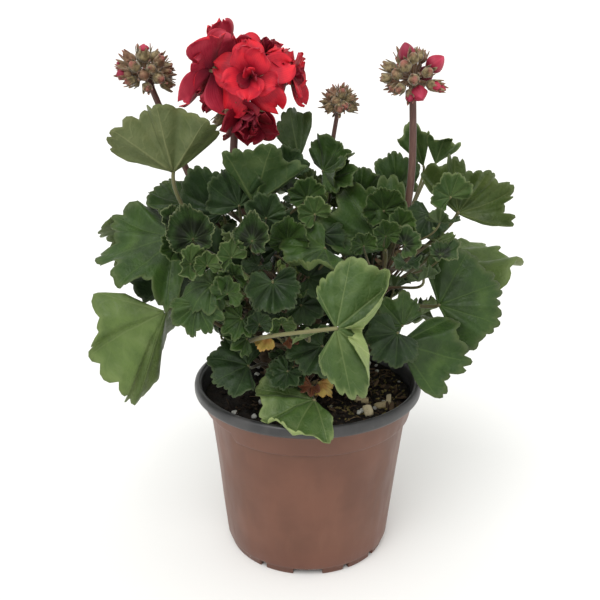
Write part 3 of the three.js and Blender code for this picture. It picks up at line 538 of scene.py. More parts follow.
def tube_sides(along):
    """For each point of a path a direction off it, which turns as little as can be."""
    side = basis(along[0])[:, 0]
    sides = []
    for direction in along:
        side = unit(side - direction * (side @ direction))
        sides.append(side)
    return np.array(sides)


def with_ends(values, count):
    """The values with the first and the last repeated."""
    return np.concatenate([np.repeat(values[:1], count, 0), values, np.repeat(values[-1:], count, 0)])


def add_tube(skin, path, radius, corners=10, slot=0, relief=None, tint=0.5):
    """A tube with rounded ends. radius is one number or one for each point of the path."""
    path = np.asarray(path, float)
    radius = np.broadcast_to(radius, len(path)).astype(float)
    along = unit(np.gradient(path, axis=0))
    sides = with_ends(tube_sides(along), len(TUBE_DOME))
    start, end = path[0], path[-1]
    before = start - np.outer(radius[0] * np.sin(TUBE_DOME), along[0])
    after = end + np.outer(radius[-1] * np.sin(TUBE_DOME[::-1]), along[-1])
    ends = [start - radius[0] * along[0], end + radius[-1] * along[-1]]
    centres = np.concatenate([before, path, after])
    radii = np.concatenate([radius[0] * np.cos(TUBE_DOME), radius, radius[-1] * np.cos(TUBE_DOME[::-1])])
    others = np.cross(with_ends(along, len(TUBE_DOME)), sides)
    turns = np.linspace(0, 2 * math.pi, corners, endpoint=False)[None, :, None]
    outward = np.cos(turns) * sides[:, None] + np.sin(turns) * others[:, None]
    rings = centres[:, None] + radii[:, None, None] * outward
    if relief:
        rings = rings + outward * relief(rings, centres)[..., None]
    length = np.concatenate([[0], np.cumsum(np.linalg.norm(np.diff(centres, axis=0), axis=1))])
    around = np.linspace(0, 1, corners + 1)
    maps = np.zeros((len(centres), corners + 1, 4))
    maps[..., 0] = around * 2 * math.pi * radius.mean() / 100
    maps[..., 1] = length[:, None] / 100
    maps[..., 2] = around
    maps[..., 3] = (length / length[-1])[:, None]
    skin.add_rings(rings, ends, maps, slot, tint)


def grid_normals(grid):
    return unit(np.cross(np.gradient(grid, axis=1), np.gradient(grid, axis=0)))


leaflet = {"steps": 8, "columns": 5, "half_thickness": 0.15}


def add_leaflet(skin, root, along, face, length, width, bend=0.5, fold=0.3, slot=0, tint=0.5):
    """A small pointed leaflet, such as a sepal, bract or stipule."""
    share = np.linspace(0, 1, leaflet["steps"])
    aside = np.linspace(-1, 1, leaflet["columns"])[:, None]
    half = width / 2 * (1 - 0.97 * share) ** 0.8 * (0.55 + 1.6 * share) / 1.1
    angle = bend * (share - 0.2)
    step = length / (len(share) - 1)
    out = np.concatenate([[0], np.cumsum(np.cos(angle[1:]) * step)])
    up = np.concatenate([[0], np.cumsum(np.sin(angle[1:]) * step)])
    lift = up + fold * np.abs(aside) * half
    grid = np.stack(np.broadcast_arrays(out, aside * half, lift), axis=2)
    along = unit(along)
    face = unit(np.asarray(face, float) - along * (along @ np.asarray(face, float)))
    axes = np.stack([along, np.cross(face, along), face])
    middle = np.asarray(root, float) + grid @ axes
    thick = leaflet["half_thickness"] * grid_normals(middle)
    maps = np.stack(np.broadcast_arrays(out / 100, aside * half / 100, aside / 2 + 0.5, share), axis=2)
    skin.add_sheet(middle + thick, middle - thick, maps, (slot, slot), tint)


# Materials. Colours are given as sRGB in steps of 255.


def paint(red, green, blue):
    values = np.array([red, green, blue]) / 255
    linear = np.where(values <= 0.04045, values / 12.92, ((values + 0.055) / 1.055) ** 2.4)
    return (*linear.tolist(), 1.0)


class Surface:
    """A material whose nodes are made by short calls that give back their output."""

    def __init__(self, name, **shader):
        self.material = bpy.data.materials.new(name)
        self.material.use_nodes = True
        self.tree = self.material.node_tree
        self.shader = self.tree.nodes["Principled BSDF"]
        for key, value in shader.items():
            self.shader.inputs[key.replace("_", " ")].default_value = value

    def node(self, kind, inputs, output=0, **settings):
        made = self.tree.nodes.new(kind)
        for key, value in settings.items():
            setattr(made, key, value)
        for key, value in inputs.items():
            if isinstance(value, bpy.types.NodeSocket):
                self.tree.links.new(value, made.inputs[key])
            else:
                made.inputs[key].default_value = value
        return made.outputs[output]

    def math(self, operation, *values):
        return self.node("ShaderNodeMath", dict(enumerate(values)), operation=operation)

    def times(self, first, second):
        return self.math("MULTIPLY", first, second)

    def plus(self, first, second):
        return self.math("ADD", first, second)

    def vector_math(self, operation, *values, output=0):
        return self.node("ShaderNodeVectorMath", dict(enumerate(values)), output, operation=operation)

    def stretch(self, vector, shares):
        return self.vector_math("MULTIPLY", vector, shares)

    def place(self):
        """Where the surface is, in millimetres."""
        spot = self.node("ShaderNodeTexCoord", {}, 3)
        return self.stretch(spot, (1000, 1000, 1000))

    def map(self, name, scale=1.0):
        found = self.node("ShaderNodeUVMap", {}, uv_map=name)
        return self.stretch(found, (scale, scale, scale))

    def split(self, vector, axis):
        return self.node("ShaderNodeSeparateXYZ", {0: vector}, axis)

    def tint(self):
        return self.node("ShaderNodeAttribute", {}, 2, attribute_name="tint")

    def noise(self, vector, size, detail=3.0, roughness=0.5):
        inputs = {"Vector": vector, "Scale": 1 / size, "Detail": detail, "Roughness": roughness}
        return self.node("ShaderNodeTexNoise", inputs)

    def cells(self, vector, size, feature="DISTANCE_TO_EDGE"):
        inputs = {"Vector": vector, "Scale": 1 / size}
        return self.node("ShaderNodeTexVoronoi", inputs, feature=feature)

    def rise(self, value, low, high, start=0.0, end=1.0):
        """start below low, end above high, and a smooth step between."""
        inputs = {"Value": value, "From Min": low, "From Max": high, "To Min": start, "To Max": end}
        return self.node("ShaderNodeMapRange", inputs, interpolation_type="SMOOTHSTEP")

    def mix(self, share, first, second, blend="MIX"):
        inputs = {0: share, 6: first, 7: second}
        return self.node("ShaderNodeMix", inputs, 2, data_type="RGBA", blend_type=blend)

    def bump(self, height, strength, distance):
        """distance is how high the bumps stand, in millimetres."""
        inputs = {"Height": height, "Strength": strength, "Distance": distance * MM}
        normal = self.node("ShaderNodeBump", inputs)
        self.tree.links.new(normal, self.shader.inputs["Normal"])

    def finish(self, colour, roughness=None):
        self.tree.links.new(colour, self.shader.inputs["Base Color"])
        if roughness is not None:
            self.tree.links.new(roughness, self.shader.inputs["Roughness"])
        return self.material


def leaf_veins(made, turn, share, flat, grain):
    """The main veins, their forks and the net between. The second value is how far a place
    is from the net."""
    from_hub = made.vector_math("LENGTH", flat, output=1)
    off_vein = made.times(made.math("PINGPONG", turn, 0.5), 2.0)
    beside = made.times(made.times(off_vein, blade["vein_spacing"] / 2), from_hub)
    width = made.math("MULTIPLY_ADD", share, -0.65, 1.0)
    main = made.math("SUBTRACT", 1.0, made.rise(beside, made.times(width, 0.25), width))
    sided = made.math("SINE", made.times(turn, 2 * math.pi))
    side = made.times(made.rise(sided, -0.1, 0.1), 0.5)
    bent = made.math("MULTIPLY_ADD", off_vein, -0.42, 1.0)
    fork = made.plus(made.times(made.times(share, bent), 4.6), side)
    fork = made.plus(fork, made.times(grain, 0.35))
    forks = made.rise(made.math("PINGPONG", fork, 0.5), 0.02, 0.1, 1.0, 0.0)
    forks = made.times(forks, made.rise(share, 0.15, 0.35, 0.0, 0.4))
    forks = made.times(forks, made.rise(off_vein, 0.5, 1.0, 1.0, 0.35))
    swirl = made.node("ShaderNodeTexNoise", {"Vector": flat, "Scale": 0.5}, 1)
    warped = made.vector_math("ADD", flat, made.stretch(swirl, (1.2, 1.2, 1.2)))
    cell = made.cells(warped, 2.1)
    net = made.rise(cell, 0.0, 0.14, 0.14, 0.0)
    return made.math("MAXIMUM", made.math("MAXIMUM", main, forks), net), cell


def leaf_lamina(made, flat, grain, dark, light, vein):
    """The green between the veins, in soft blotches, darker on some leaves than on others."""
    lamina = made.mix(made.rise(grain, 0.25, 0.78, 0.1, 0.8), dark, light)
    lamina = made.mix(made.rise(made.noise(flat, 30, 2), 0.4, 0.7, 0.0, 0.35), lamina, light)
    lamina = made.mix(made.rise(made.tint(), 0, 1, 0.0, 0.45), lamina, dark)
    return made.mix(made.rise(made.noise(flat, 16, 3), 0.5, 0.75, 0.0, 0.4), lamina, vein)


def leaf_surface(name, dark, light, vein, margin, raised, zone=None, zone_depth=0.0):
    """raised is 1 where the veins stand out, under the leaf, and -1 where they lie in grooves."""
    made = Surface(name, Sheen_Weight=0.06, Sheen_Roughness=0.4, Specular_IOR_Level=0.28)
    polar = made.map("polar")
    turn = made.split(polar, 0)
    share = made.split(polar, 1)
    flat = made.map("flat", 100)
    grain = made.noise(flat, 9, 4)
    veins, cell = leaf_veins(made, turn, share, flat, grain)
    lamina = leaf_lamina(made, flat, grain, dark, light, vein)
    if zone:
        ring = made.plus(share, made.times(made.math("SUBTRACT", grain, 0.5), 0.3))
        inner = made.rise(ring, 0.05, 0.25)
        outer = made.rise(ring, 0.4, 0.7, 1.0, 0.0)
        band = made.times(made.times(inner, outer), zone_depth)
        lamina = made.mix(band, lamina, zone)
        veins = made.times(veins, made.math("MULTIPLY_ADD", band, -0.7, 1.0))
    vein_share = 0.6 if raised > 0 else 0.36
    colour = made.mix(made.times(veins, vein_share), lamina, vein)
    # A band along the margin. On the green tones it is paler, a painted highlight where the edge catches the
    # light. On the yellow and brown tones it is their own dried edge.
    edge = made.plus(share, made.times(made.math("SUBTRACT", grain, 0.5), 0.12))
    colour = made.mix(made.rise(edge, 0.86, 1.02, 0.0, 0.5), colour, margin)
    hairs = made.noise(flat, 0.35, 2)
    height = made.times(veins, raised)
    height = made.plus(height, made.times(made.rise(cell, 0.0, 0.5), 0.45))
    height = made.plus(height, made.times(hairs, 0.25))
    made.bump(height, 0.55, 0.4)
    roughness = made.rise(made.noise(flat, 3), 0.3, 0.7, 0.42, 0.62)
    return made.finish(colour, roughness)


# The paler margin of the green tones, a painted highlight where the edge catches the light.
leaf_margin = (86, 96, 56)

# For each tone of the upper side: dark, light, veins, margin, and the zone with its strength. The lit tone
# is a lighter copy of the green, in painted light, the shaded tone a darker copy, in painted shade, and the
# pale tone a paler leaf with painted light that shines through it.
leaf_tones = {
    "green": ((32, 54, 17), (54, 80, 26), (76, 98, 44), leaf_margin, (24, 34, 16), 0.35),
    "shaded": ((24, 42, 17), (41, 64, 27), (60, 80, 40), (70, 82, 48), (16, 24, 14), 0.35),
    "lit": ((62, 82, 34), (92, 112, 54), (108, 122, 74), (112, 126, 74), None, 0),
    "pale": ((46, 70, 26), (72, 94, 42), (112, 126, 78), (138, 150, 96), None, 0),
    "zoned": ((38, 60, 26), (64, 88, 42), (84, 102, 60), (118, 122, 86), (26, 28, 22), 0.85),
    "bright": ((46, 70, 28), (70, 94, 44), (94, 110, 62), (114, 122, 78), None, 0),
    "yellow": ((150, 128, 60), (186, 160, 84), (176, 148, 80), (150, 100, 52), (140, 80, 40), 0.6),
    "olive": ((46, 62, 22), (70, 88, 32), (92, 102, 52), leaf_margin, (30, 38, 18), 0.2),
    "backlit": ((36, 58, 20), (58, 84, 30), (80, 102, 48), leaf_margin, None, 0),
    "brown": ((78, 42, 26), (118, 70, 42), (136, 92, 58), (66, 40, 26), None, 0),
}

# For each tone of the underside: dark, light, veins and margin. The lit underside is paler, in painted
# light, and the pale one paler still, with painted light that shines through the leaf. The shaded and
# backlit undersides are darker, in painted shade.
under_tones = {
    "green": ((62, 80, 36), (78, 96, 46), (104, 114, 70), (94, 104, 58)),
    "shaded": ((44, 62, 28), (58, 76, 38), (80, 94, 54), (72, 86, 48)),
    "lit": ((84, 102, 52), (104, 120, 66), (128, 138, 88), (118, 128, 76)),
    "pale": ((112, 132, 72), (138, 154, 92), (160, 168, 112), (150, 162, 104)),
    "zoned": ((70, 90, 44), (92, 110, 58), (114, 126, 80), (116, 128, 80)),
    "bright": ((84, 108, 46), (108, 130, 62), (132, 144, 84), (124, 138, 76)),
    "yellow": ((160, 136, 70), (190, 166, 96), (196, 170, 106), (160, 112, 66)),
    "olive": ((72, 84, 46), (100, 108, 68), (120, 124, 82), (104, 106, 64)),
    "backlit": ((40, 62, 26), (58, 80, 36), (88, 102, 58), (84, 96, 54)),
    "brown": ((96, 62, 40), (130, 92, 62), (150, 110, 76), (84, 54, 38)),
}


def leaf_materials():
    """For each tone, the materials of the upper side, the underside and the stalk."""
    green = stalk_surface("leaf_stalk", paint(84, 66, 50), paint(92, 94, 56), paint(82, 58, 48))
    pale = stalk_surface("leaf_stalk_pale", paint(84, 74, 54), paint(116, 116, 74), paint(92, 74, 62))
    made = {}
    for tone, (*colours, zone, depth) in leaf_tones.items():
        zone = zone and paint(*zone)
        upper = leaf_surface(f"leaf_{tone}", *(paint(*c) for c in colours), -1.0, zone, depth)
        under = leaf_surface(f"leaf_{tone}_under", *(paint(*c) for c in under_tones[tone]), 1.0)
        made[tone] = (upper, under, pale if tone in ("pale", "bright", "yellow") else green)
    return made


def stalk_surface(name, base, top, fleck):
    """A smooth green or purple stalk, from the colour of its base to that of its top."""
    made = Surface(name, Sheen_Weight=0.3, Sheen_Roughness=0.35, Specular_IOR_Level=0.35)
    along = made.split(made.map("polar"), 1)
    flat = made.map("flat", 100)
    streaks = made.noise(made.stretch(flat, (2.2, 0.16, 1)), 1, 4)
    colour = made.mix(made.rise(along, 0.15, 0.85), base, top)
    colour = made.mix(made.rise(streaks, 0.35, 0.75, 0.0, 0.6), colour, fleck)
    hairs = made.noise(flat, 0.3, 2)
    made.bump(made.plus(streaks, made.times(hairs, 0.5)), 0.5, 0.25)
    return made.finish(colour, made.rise(hairs, 0.3, 0.7, 0.47, 0.67))


def bark_surface():
    made = Surface("bark", Specular_IOR_Level=0.3)
    place = made.place()
    height = made.split(place, 2)
    flat = made.map("flat", 100)
    rings = made.noise(made.stretch(flat, (0.35, 1.1, 1)), 1.6, 5, 0.6)
    mottle = made.noise(place, 6, 4)
    wood = made.mix(made.rise(mottle, 0.35, 0.7), paint(70, 56, 42), paint(112, 92, 70))
    green = made.mix(made.rise(mottle, 0.35, 0.7), paint(70, 72, 44), paint(104, 98, 66))
    colour = made.mix(made.rise(height, 120, 180), wood, green)
    colour = made.mix(made.rise(rings, 0.5, 0.75, 0.0, 0.7), colour, paint(48, 38, 30))
    made.bump(made.plus(rings, mottle), 0.7, 0.6)
    return made.finish(colour, made.rise(mottle, 0.3, 0.7, 0.6, 0.85))


def sepal_surface():
    """Hairy olive-brown sepals, flushed with pink towards their points."""
    made = Surface("sepals", Sheen_Weight=0.35, Sheen_Roughness=0.4, Specular_IOR_Level=0.3)
    share = made.split(made.map("polar"), 1)
    place = made.place()
    mottle = made.noise(place, 2.2, 4)
    colour = made.mix(made.rise(mottle, 0.35, 0.68), paint(92, 80, 52), paint(150, 134, 98))
    colour = made.mix(made.rise(made.tint(), 0.4, 1.0, 0.0, 0.6), colour, paint(108, 62, 50))
    reddened = made.rise(share, 0.6, 1.0)
    tips = made.times(reddened, made.rise(made.noise(place, 7), 0.4, 0.6, 0.15, 0.8))
    colour = made.mix(tips, colour, paint(150, 78, 76))
    hairs = made.noise(place, 0.4, 2)
    made.bump(made.plus(made.times(mottle, 0.7), hairs), 0.6, 0.3)
    return made.finish(colour, made.rise(hairs, 0.3, 0.7, 0.5, 0.75))


def petal_surface(name, deep, mid, bright, vein):
    made = Surface(name, Sheen_Weight=0.2, Sheen_Roughness=0.35, Specular_IOR_Level=0.3)
    made.shader.inputs["Sheen Tint"].default_value = paint(255, 120, 110)
    polar = made.map("polar")
    across = made.split(polar, 0)
    share = made.split(polar, 1)
    flat = made.map("flat", 100)
    cloud = made.noise(flat, 6, 3)
    # Darker towards the base of each petal, painted shade deep in the flower, and brighter in patches
    # towards the tip, painted light.
    colour = made.mix(made.rise(share, 0.05, 0.55), deep, mid)
    lit = made.times(made.rise(share, 0.3, 0.9), made.rise(cloud, 0.35, 0.65))
    colour = made.mix(lit, colour, bright)
    shift = made.math("MULTIPLY_ADD", cloud, 0.7, made.times(across, 15))
    lines = made.rise(made.math("PINGPONG", shift, 0.5), 0.04, 0.22, 1.0, 0.0)
    lines = made.times(lines, made.rise(share, 0.55, 1.0, 1.0, 0.25))
    colour = made.mix(made.times(lines, 0.2), colour, vein)
    # The tint darkens a petal towards the deep colour. On the open flowers it is painted shade on the inner
    # petals and in cupped flowers, spread a little at random. On the buds it is random.
    colour = made.mix(made.rise(made.tint(), 0.2, 1.0, 0.0, 0.75), colour, deep)
    fine = made.noise(flat, 0.5, 3)
    height = made.plus(made.times(lines, -0.6), made.times(fine, 0.4))
    made.bump(height, 0.45, 0.25)
    return made.finish(colour, made.rise(cloud, 0.3, 0.7, 0.48, 0.62))


def pot_surface():
    """Thin brown moulded plastic, with paler streaks that run up and down and scuffs near the foot."""
    made = Surface("pot_plastic", Specular_IOR_Level=0.45)
    place = made.place()
    height = made.split(place, 2)
    cloud = made.noise(place, 34, 3, 0.55)
    pale_streaks = made.noise(made.stretch(place, (1, 1, 0.25)), 9, 4, 0.6)
    colour = made.mix(made.rise(cloud, 0.35, 0.66), paint(94, 58, 42), paint(106, 67, 50))
    colour = made.mix(made.rise(pale_streaks, 0.52, 0.75, 0.0, 0.35), colour, paint(116, 78, 60))
    low = made.rise(height, 0, 26, 0.35, 0.0)
    colour = made.mix(low, colour, paint(102, 58, 44))
    specks = made.cells(place, 7, "F1")
    few = made.rise(made.noise(place, 13, 2), 0.56, 0.6)
    scuffed = made.times(made.rise(height, 34, 16), few)
    scuff = made.times(made.rise(specks, 0.035, 0.07, 1.0, 0.0), scuffed)
    colour = made.mix(made.times(scuff, 0.8), colour, paint(196, 176, 164))
    fine = made.noise(place, 0.7, 3)
    dents = made.noise(place, 22, 2)
    made.bump(made.math("MULTIPLY_ADD", dents, 3.0, made.times(fine, 0.12)), 0.25, 0.5)
    return made.finish(colour, made.rise(pale_streaks, 0.3, 0.7, 0.36, 0.5))


def rim_surface():
    """The dark inner layer of the pot, which shows on its rim and inside."""
    made = Surface("pot_lining", Specular_IOR_Level=0.5)
    place = made.place()
    cloud = made.noise(place, 12, 4)
    dust = made.noise(place, 1.6, 4, 0.7)
    colour = made.mix(made.rise(cloud, 0.35, 0.66), paint(42, 42, 43), paint(60, 59, 59))
    colour = made.mix(made.rise(dust, 0.62, 0.78, 0.0, 0.35), colour, paint(104, 98, 90))
    made.bump(made.plus(dust, cloud), 0.3, 0.25)
    return made.finish(colour, made.rise(cloud, 0.3, 0.7, 0.32, 0.48))


def peat_surface():
    made = Surface("peat", Specular_IOR_Level=0.25)
    place = made.place()
    clumps = made.noise(place, 5, 5, 0.6)
    grit = made.noise(place, 1.1, 5, 0.7)
    colour = made.mix(made.rise(clumps, 0.35, 0.7), paint(20, 17, 15), paint(44, 36, 30))
    colour = made.mix(made.rise(grit, 0.58, 0.8, 0.0, 0.6), colour, paint(84, 66, 50))
    made.bump(made.plus(clumps, grit), 1.0, 1.2)
    return made.finish(colour, made.rise(grit, 0.3, 0.7, 0.75, 0.95))


def crumb_surface(name, dark, light, speck, roughness):
    """Loose pieces in the soil. Each has its own tint between dark and light."""
    made = Surface(name, Specular_IOR_Level=0.25)
    place = made.place()
    grain = made.noise(made.stretch(place, (1, 0.4, 1.3)), 0.8, 5, 0.65)
    colour = made.mix(made.tint(), dark, light)
    colour = made.mix(made.rise(grain, 0.5, 0.72, 0.0, 0.55), colour, speck)
    made.bump(grain, 0.8, 0.5)
    return made.finish(colour, made.rise(grain, 0.3, 0.7, roughness - 0.1, roughness + 0.1))


def floor_surface():
    made = Surface("floor", Specular_IOR_Level=0.2)
    cloud = made.noise(made.place(), 400, 2)
    colour = made.mix(cloud, paint(236, 236, 234), paint(240, 240, 238))
    return made.finish(colour, made.rise(cloud, 0.3, 0.7, 0.7, 0.8))


# Leaves.


def branch_point(name, height):
    path = bezier(branches[name]["bend"], 400)
    return np.array([np.interp(height, path[:, 2], path[:, axis]) for axis in range(3)])


def leaf_outline(leaf, angle, chance):
    """How far the margin lies from the hub, as a share of the leaf's length."""
    spacing = blade["vein_spacing"]
    narrowing = leaf.get("narrowing", 0.2)
    rounded = 1 - narrowing + narrowing * np.cos(0.9 * angle)
    lobes = 1 - leaf.get("lobes", blade["lobe_depth"]) * np.abs(np.sin(math.pi * angle / spacing)) ** 3
    teeth = leaf.get("teeth", blade["teeth_per_lobe"])
    bumps = np.abs(np.cos(math.pi * angle * teeth / spacing)) ** blade["tooth_roundness"]
    depth = blade["tooth_depth"] * (1 + 0.5 * np.sin(3.7 * angle + chance.uniform(0, 6)))
    teeth = 1 - depth * (1 - bumps)
    uneven = 1 + 0.03 * np.sin(2.3 * angle + chance.uniform(0, 6))
    uneven = uneven + 0.02 * np.sin(5.1 * angle + chance.uniform(0, 6))
    if "notch" in leaf.get("curl", {}):
        curl = leaf["curl"]
        aside = (angle - curl["centre"]) / (0.35 * curl["width"])
        uneven = uneven * (1 - curl["notch"] * np.exp(-(aside**2)))
    to_edge = np.clip((leaf["spread"] - np.abs(angle)) / leaf.get("base", 0.4), 0, 1)
    return rounded * lobes * teeth * uneven * (1 - 0.3 * (1 - to_edge) ** 2)


def leaf_axes(leaf):
    hub = np.array(leaf["hub"], float)
    along = np.array(leaf["tip"], float) - hub
    radius = np.linalg.norm(along)
    along = along / radius
    face = np.array(leaf["face"], float)
    face = unit(face - along * (face @ along))
    return hub, np.stack([along, np.cross(face, along), face]), radius


def leaf_profile(leaf, reach, angle, share, chance):
    """How far out and up the blade gets, from how steeply it rises on its way out."""
    steep = blade["cup_turn"] * leaf.get("cup", 0) * share + 0 * angle
    if "curl" in leaf:
        curl = leaf["curl"]
        offset = np.clip(np.abs((angle - curl["centre"]) / curl["width"]), 0, 1)
        start = curl["start"] + (0.9 - curl["start"]) * offset**2
        start = start * np.linalg.norm(np.subtract(leaf["tip"], leaf["hub"])) / reach
        start = start + 0.03 * np.sin(6 * angle + chance.uniform(0, 6))
        crease = smooth(start, start + blade["crease_share"], share)
        steep = steep + curl["turn"] * (1 - offset**4) * crease
    halfway = (steep + np.concatenate([steep[:, :1], steep[:, :-1]], axis=1)) / 2
    pace = reach * np.diff(share, prepend=0)
    return np.cumsum(np.cos(halfway) * pace, axis=1), np.cumsum(np.sin(halfway) * pace, axis=1)


def blade_waves(leaf, angle, share, chance):
    """How far ruffle, saddle, pleats and frill lift the blade, as a share of its radius."""
    spacing = blade["vein_spacing"]
    ruffle = leaf.get("ruffle", 0.05) * np.sin(chance.uniform(3, 5) * angle + chance.uniform(0, 6))
    saddle = leaf.get("saddle", blade["saddle"]) * np.sin(2 * angle + chance.uniform(0, 6))
    swell = 1 + 0.5 * np.sin(1.9 * angle + chance.uniform(0, 6))
    pleat = leaf.get("pleat", blade["pleat"]) * swell * np.cos(2 * math.pi * angle / spacing)
    frill = leaf.get("frill", 0.025) * (0.7 + 0.3 * np.sin(2.6 * angle + chance.uniform(0, 6)))
    frill = frill * np.sin(2 * math.pi * angle / (spacing / 2.3) + chance.uniform(0, 6))
    return ruffle * share**2 + saddle * share**1.5 - pleat * share**1.2 + frill * share**4


def leaf_grid(leaf, radius, angle, share, chance):
    """The middle of the blade in the leaf's own axes: along its middle vein, to the left
    and towards its upper side. The second grid is the same blade laid flat."""
    reach = radius * leaf_outline(leaf, angle, chance)[:, None]
    angle = angle[:, None]
    along, up = leaf_profile(leaf, reach, angle, share, chance)
    up = up + radius * blade_waves(leaf, angle, share, chance)
    fold = leaf.get("fold", 0)
    forward = along * np.cos(angle)
    sideways = along * np.sin(angle)
    up = up + np.abs(sideways) * math.sin(fold)
    flat = np.stack([reach * share * np.cos(angle), reach * share * np.sin(angle), 0 * up], axis=2)
    seed = chance.integers(1 << 30)
    up = up + blade["warp"] * radius * wobble(flat, 1.2 * radius, seed) * share
    up = up + blade["dimples"] * wobble(flat, 7, seed + 1) * smooth(0, 0.4, share)
    bow = max(leaf.get("droop", 0.2), 0.001) / radius
    lift = 1 / bow + up
    middle = np.stack([
        lift * np.sin(bow * forward), sideways * math.cos(fold), lift * np.cos(bow * forward) - 1 / bow,
    ], axis=2)
    return middle, flat


def leaf_stalk_path(leaf, hub, axes, steps):
    start = branch_point(leaf["branch"], leaf["height"])
    if "handles" in leaf:
        return bezier([start, *leaf["handles"], hub], steps)
    length = np.linalg.norm(hub - start)
    outward = unit([*(hub - start)[:2], 0])
    outward[2] = 0.8
    arrival = 0.9 * axes[2] + 0.3 * axes[0]
    return bezier([start, start + 0.35 * length * outward, hub - 0.3 * length * arrival, hub], steps)


def leaf_stalk_thickness(radius):
    """The radius of the stalk of a blade with this radius."""
    size = "middle"
    if radius > leaf_stalk["large_blade"]:
        size = "large"
    elif radius <= leaf_stalk["small_blade"]:
        size = "small"
    return leaf_stalk["radius"] * leaf_stalk["shares"][size]


def blade_angles(leaf, columns):
    """The turns of the blade's columns round the hub, with a column on each tooth and notch."""
    spread = leaf["spread"]
    step = blade["vein_spacing"] / columns
    teeth = leaf.get("teeth", blade["teeth_per_lobe"])
    offset = (columns // teeth) % 2 / 2
    inner = (np.arange(-int(spread / step) - 1, int(spread / step) + 2) + offset) * step
    return np.concatenate([[-spread], inner[np.abs(inner) < spread - 0.3 * step], [spread]])


def vein_ridges(angle, share, flat, radius):
    """How high the main veins stand out under the blade, in millimetres."""
    spacing = blade["vein_spacing"]
    from_vein = np.abs((angle / spacing + 0.5) % 1 - 0.5)[:, None] * spacing
    from_vein = from_vein * np.linalg.norm(flat, axis=2)
    relief = np.exp(-((from_vein / (0.5 + 0.4 * (1 - share))) ** 2)) * (1 - 0.8 * share)
    return relief * blade["vein_relief"] * min(radius / 20, 1)


def add_leaf(skin, leaf, slots, columns, rows):
    """slots are those of the upper side, the underside and the stalk. columns is for a lobe."""
    chance = np.random.default_rng(sum(map(ord, leaf["name"])) * 7 + len(leaf["name"]))
    hub, axes, radius = leaf_axes(leaf)
    angle = blade_angles(leaf, columns)
    share = np.concatenate([[blade["innermost"]], np.linspace(0, 1, rows + 1)[1:] ** 0.75])
    if "curl" in leaf:
        share = np.concatenate([[blade["innermost"]], np.linspace(0, 1, 2 * rows + 1)[1:]])
    middle, flat = leaf_grid(leaf, radius, angle, share, chance)
    normal = grid_normals(middle)
    relief = vein_ridges(angle, share, flat, radius)[..., None]
    half = blade["thickness"] / 2 * (1 - 0.35 * share)[None, :, None]
    upper = middle + normal * (half - 0.5 * relief)
    lower = middle - normal * (half + 1.6 * relief)
    maps = np.zeros((*middle.shape[:2], 4))
    maps[..., :2] = flat[..., :2] / 100
    maps[..., 2] = (angle / blade["vein_spacing"])[:, None]
    maps[..., 3] = share
    skin.add_sheet(hub + upper @ axes, hub + lower @ axes, maps, slots[:2], chance.uniform(0, 1))
    path = leaf_stalk_path(leaf, hub, axes, 2 * rows)
    along = np.linspace(0, 1, len(path))
    radii = leaf_stalk_thickness(radius) * (1.25 - 0.3 * smooth(0, 0.12, along) - 0.15 * along)
    add_tube(skin, path, radii, 10 if columns > 12 else 7, slots[2])


def make_leaves(rows, tones):
    for leaf in rows:
        tone = leaf.get("tone", "green")
        name = leaf["name"].replace("leaf_", "blade_")
        skin = Skin()
        add_leaf(skin, leaf, (0, 1, 2), blade["columns_per_lobe"], 11)
        finish_piece(skin, name, tones[tone], leaf["name"])


def leaf_disc(leaf):
    """The middle and the radius of the space that a leaf takes up."""
    hub, axes, radius = leaf_axes(leaf)
    return hub + axes[0] * radius * 0.25, radius * 0.8


def random_leaf(name, branch, height, chance):
    """A small leaf that grows out of the branch at this height, somewhere round it."""
    root = branch_point(branch, height)
    turn = chance.uniform(0, 2 * math.pi)
    outward = np.array([math.cos(turn), math.sin(turn), 0])
    across = np.array([-outward[1], outward[0], 0])
    hub = root + outward * chance.uniform(*filling["reach"]) + [0, 0, chance.uniform(*filling["rise"])]
    size = chance.uniform(*filling["radius"])
    along = outward * 0.8 + across * chance.uniform(-0.7, 0.7) + [0, 0, chance.uniform(-0.3, 0.6)]
    face = outward * chance.uniform(0.2, 0.9) + [0, 0, 1] + chance.normal(size=3) * 0.2
    return leaf_row(
        name, branch, height, hub, hub + unit(along) * size, face,
        spread=chance.uniform(2.4, 2.8),
        cup=chance.uniform(0.15, 0.5),
        ruffle=chance.uniform(0.08, 0.2),
        frill=chance.uniform(0.04, 0.09),
        lobes=chance.uniform(0.08, 0.18),
        tone=["zoned", "green", "shaded", "shaded"][int(chance.integers(4))],
    )


def filling_leaves(rows):
    """Small leaves all along the branches. Each takes the roomiest of a few places."""
    chance = np.random.default_rng(seeds["filling"])
    taken = [leaf_disc(leaf) for leaf in rows]
    made = []
    for branch, count in filling["counts"].items():
        path = bezier(branches[branch]["bend"], 10)
        for i in range(count):
            height = filling["lowest"] + (path[-1, 2] - 4 - filling["lowest"]) * (i + 0.5) / count
            name = f"{branch}_{i}"
            choices = [random_leaf(name, branch, height, chance) for _ in range(filling["tries"])]
            rooms = []
            for leaf in choices:
                middle, size = leaf_disc(leaf)
                rooms.append(min(
                    np.linalg.norm(middle - other) - filling["closeness"] * (size + other_size)
                    for other, other_size in taken
                ))
            best = int(np.argmax(rooms))
            if rooms[best] > filling["least_room"]:
                made.append(choices[best])
                taken.append(leaf_disc(choices[best]))
    return made


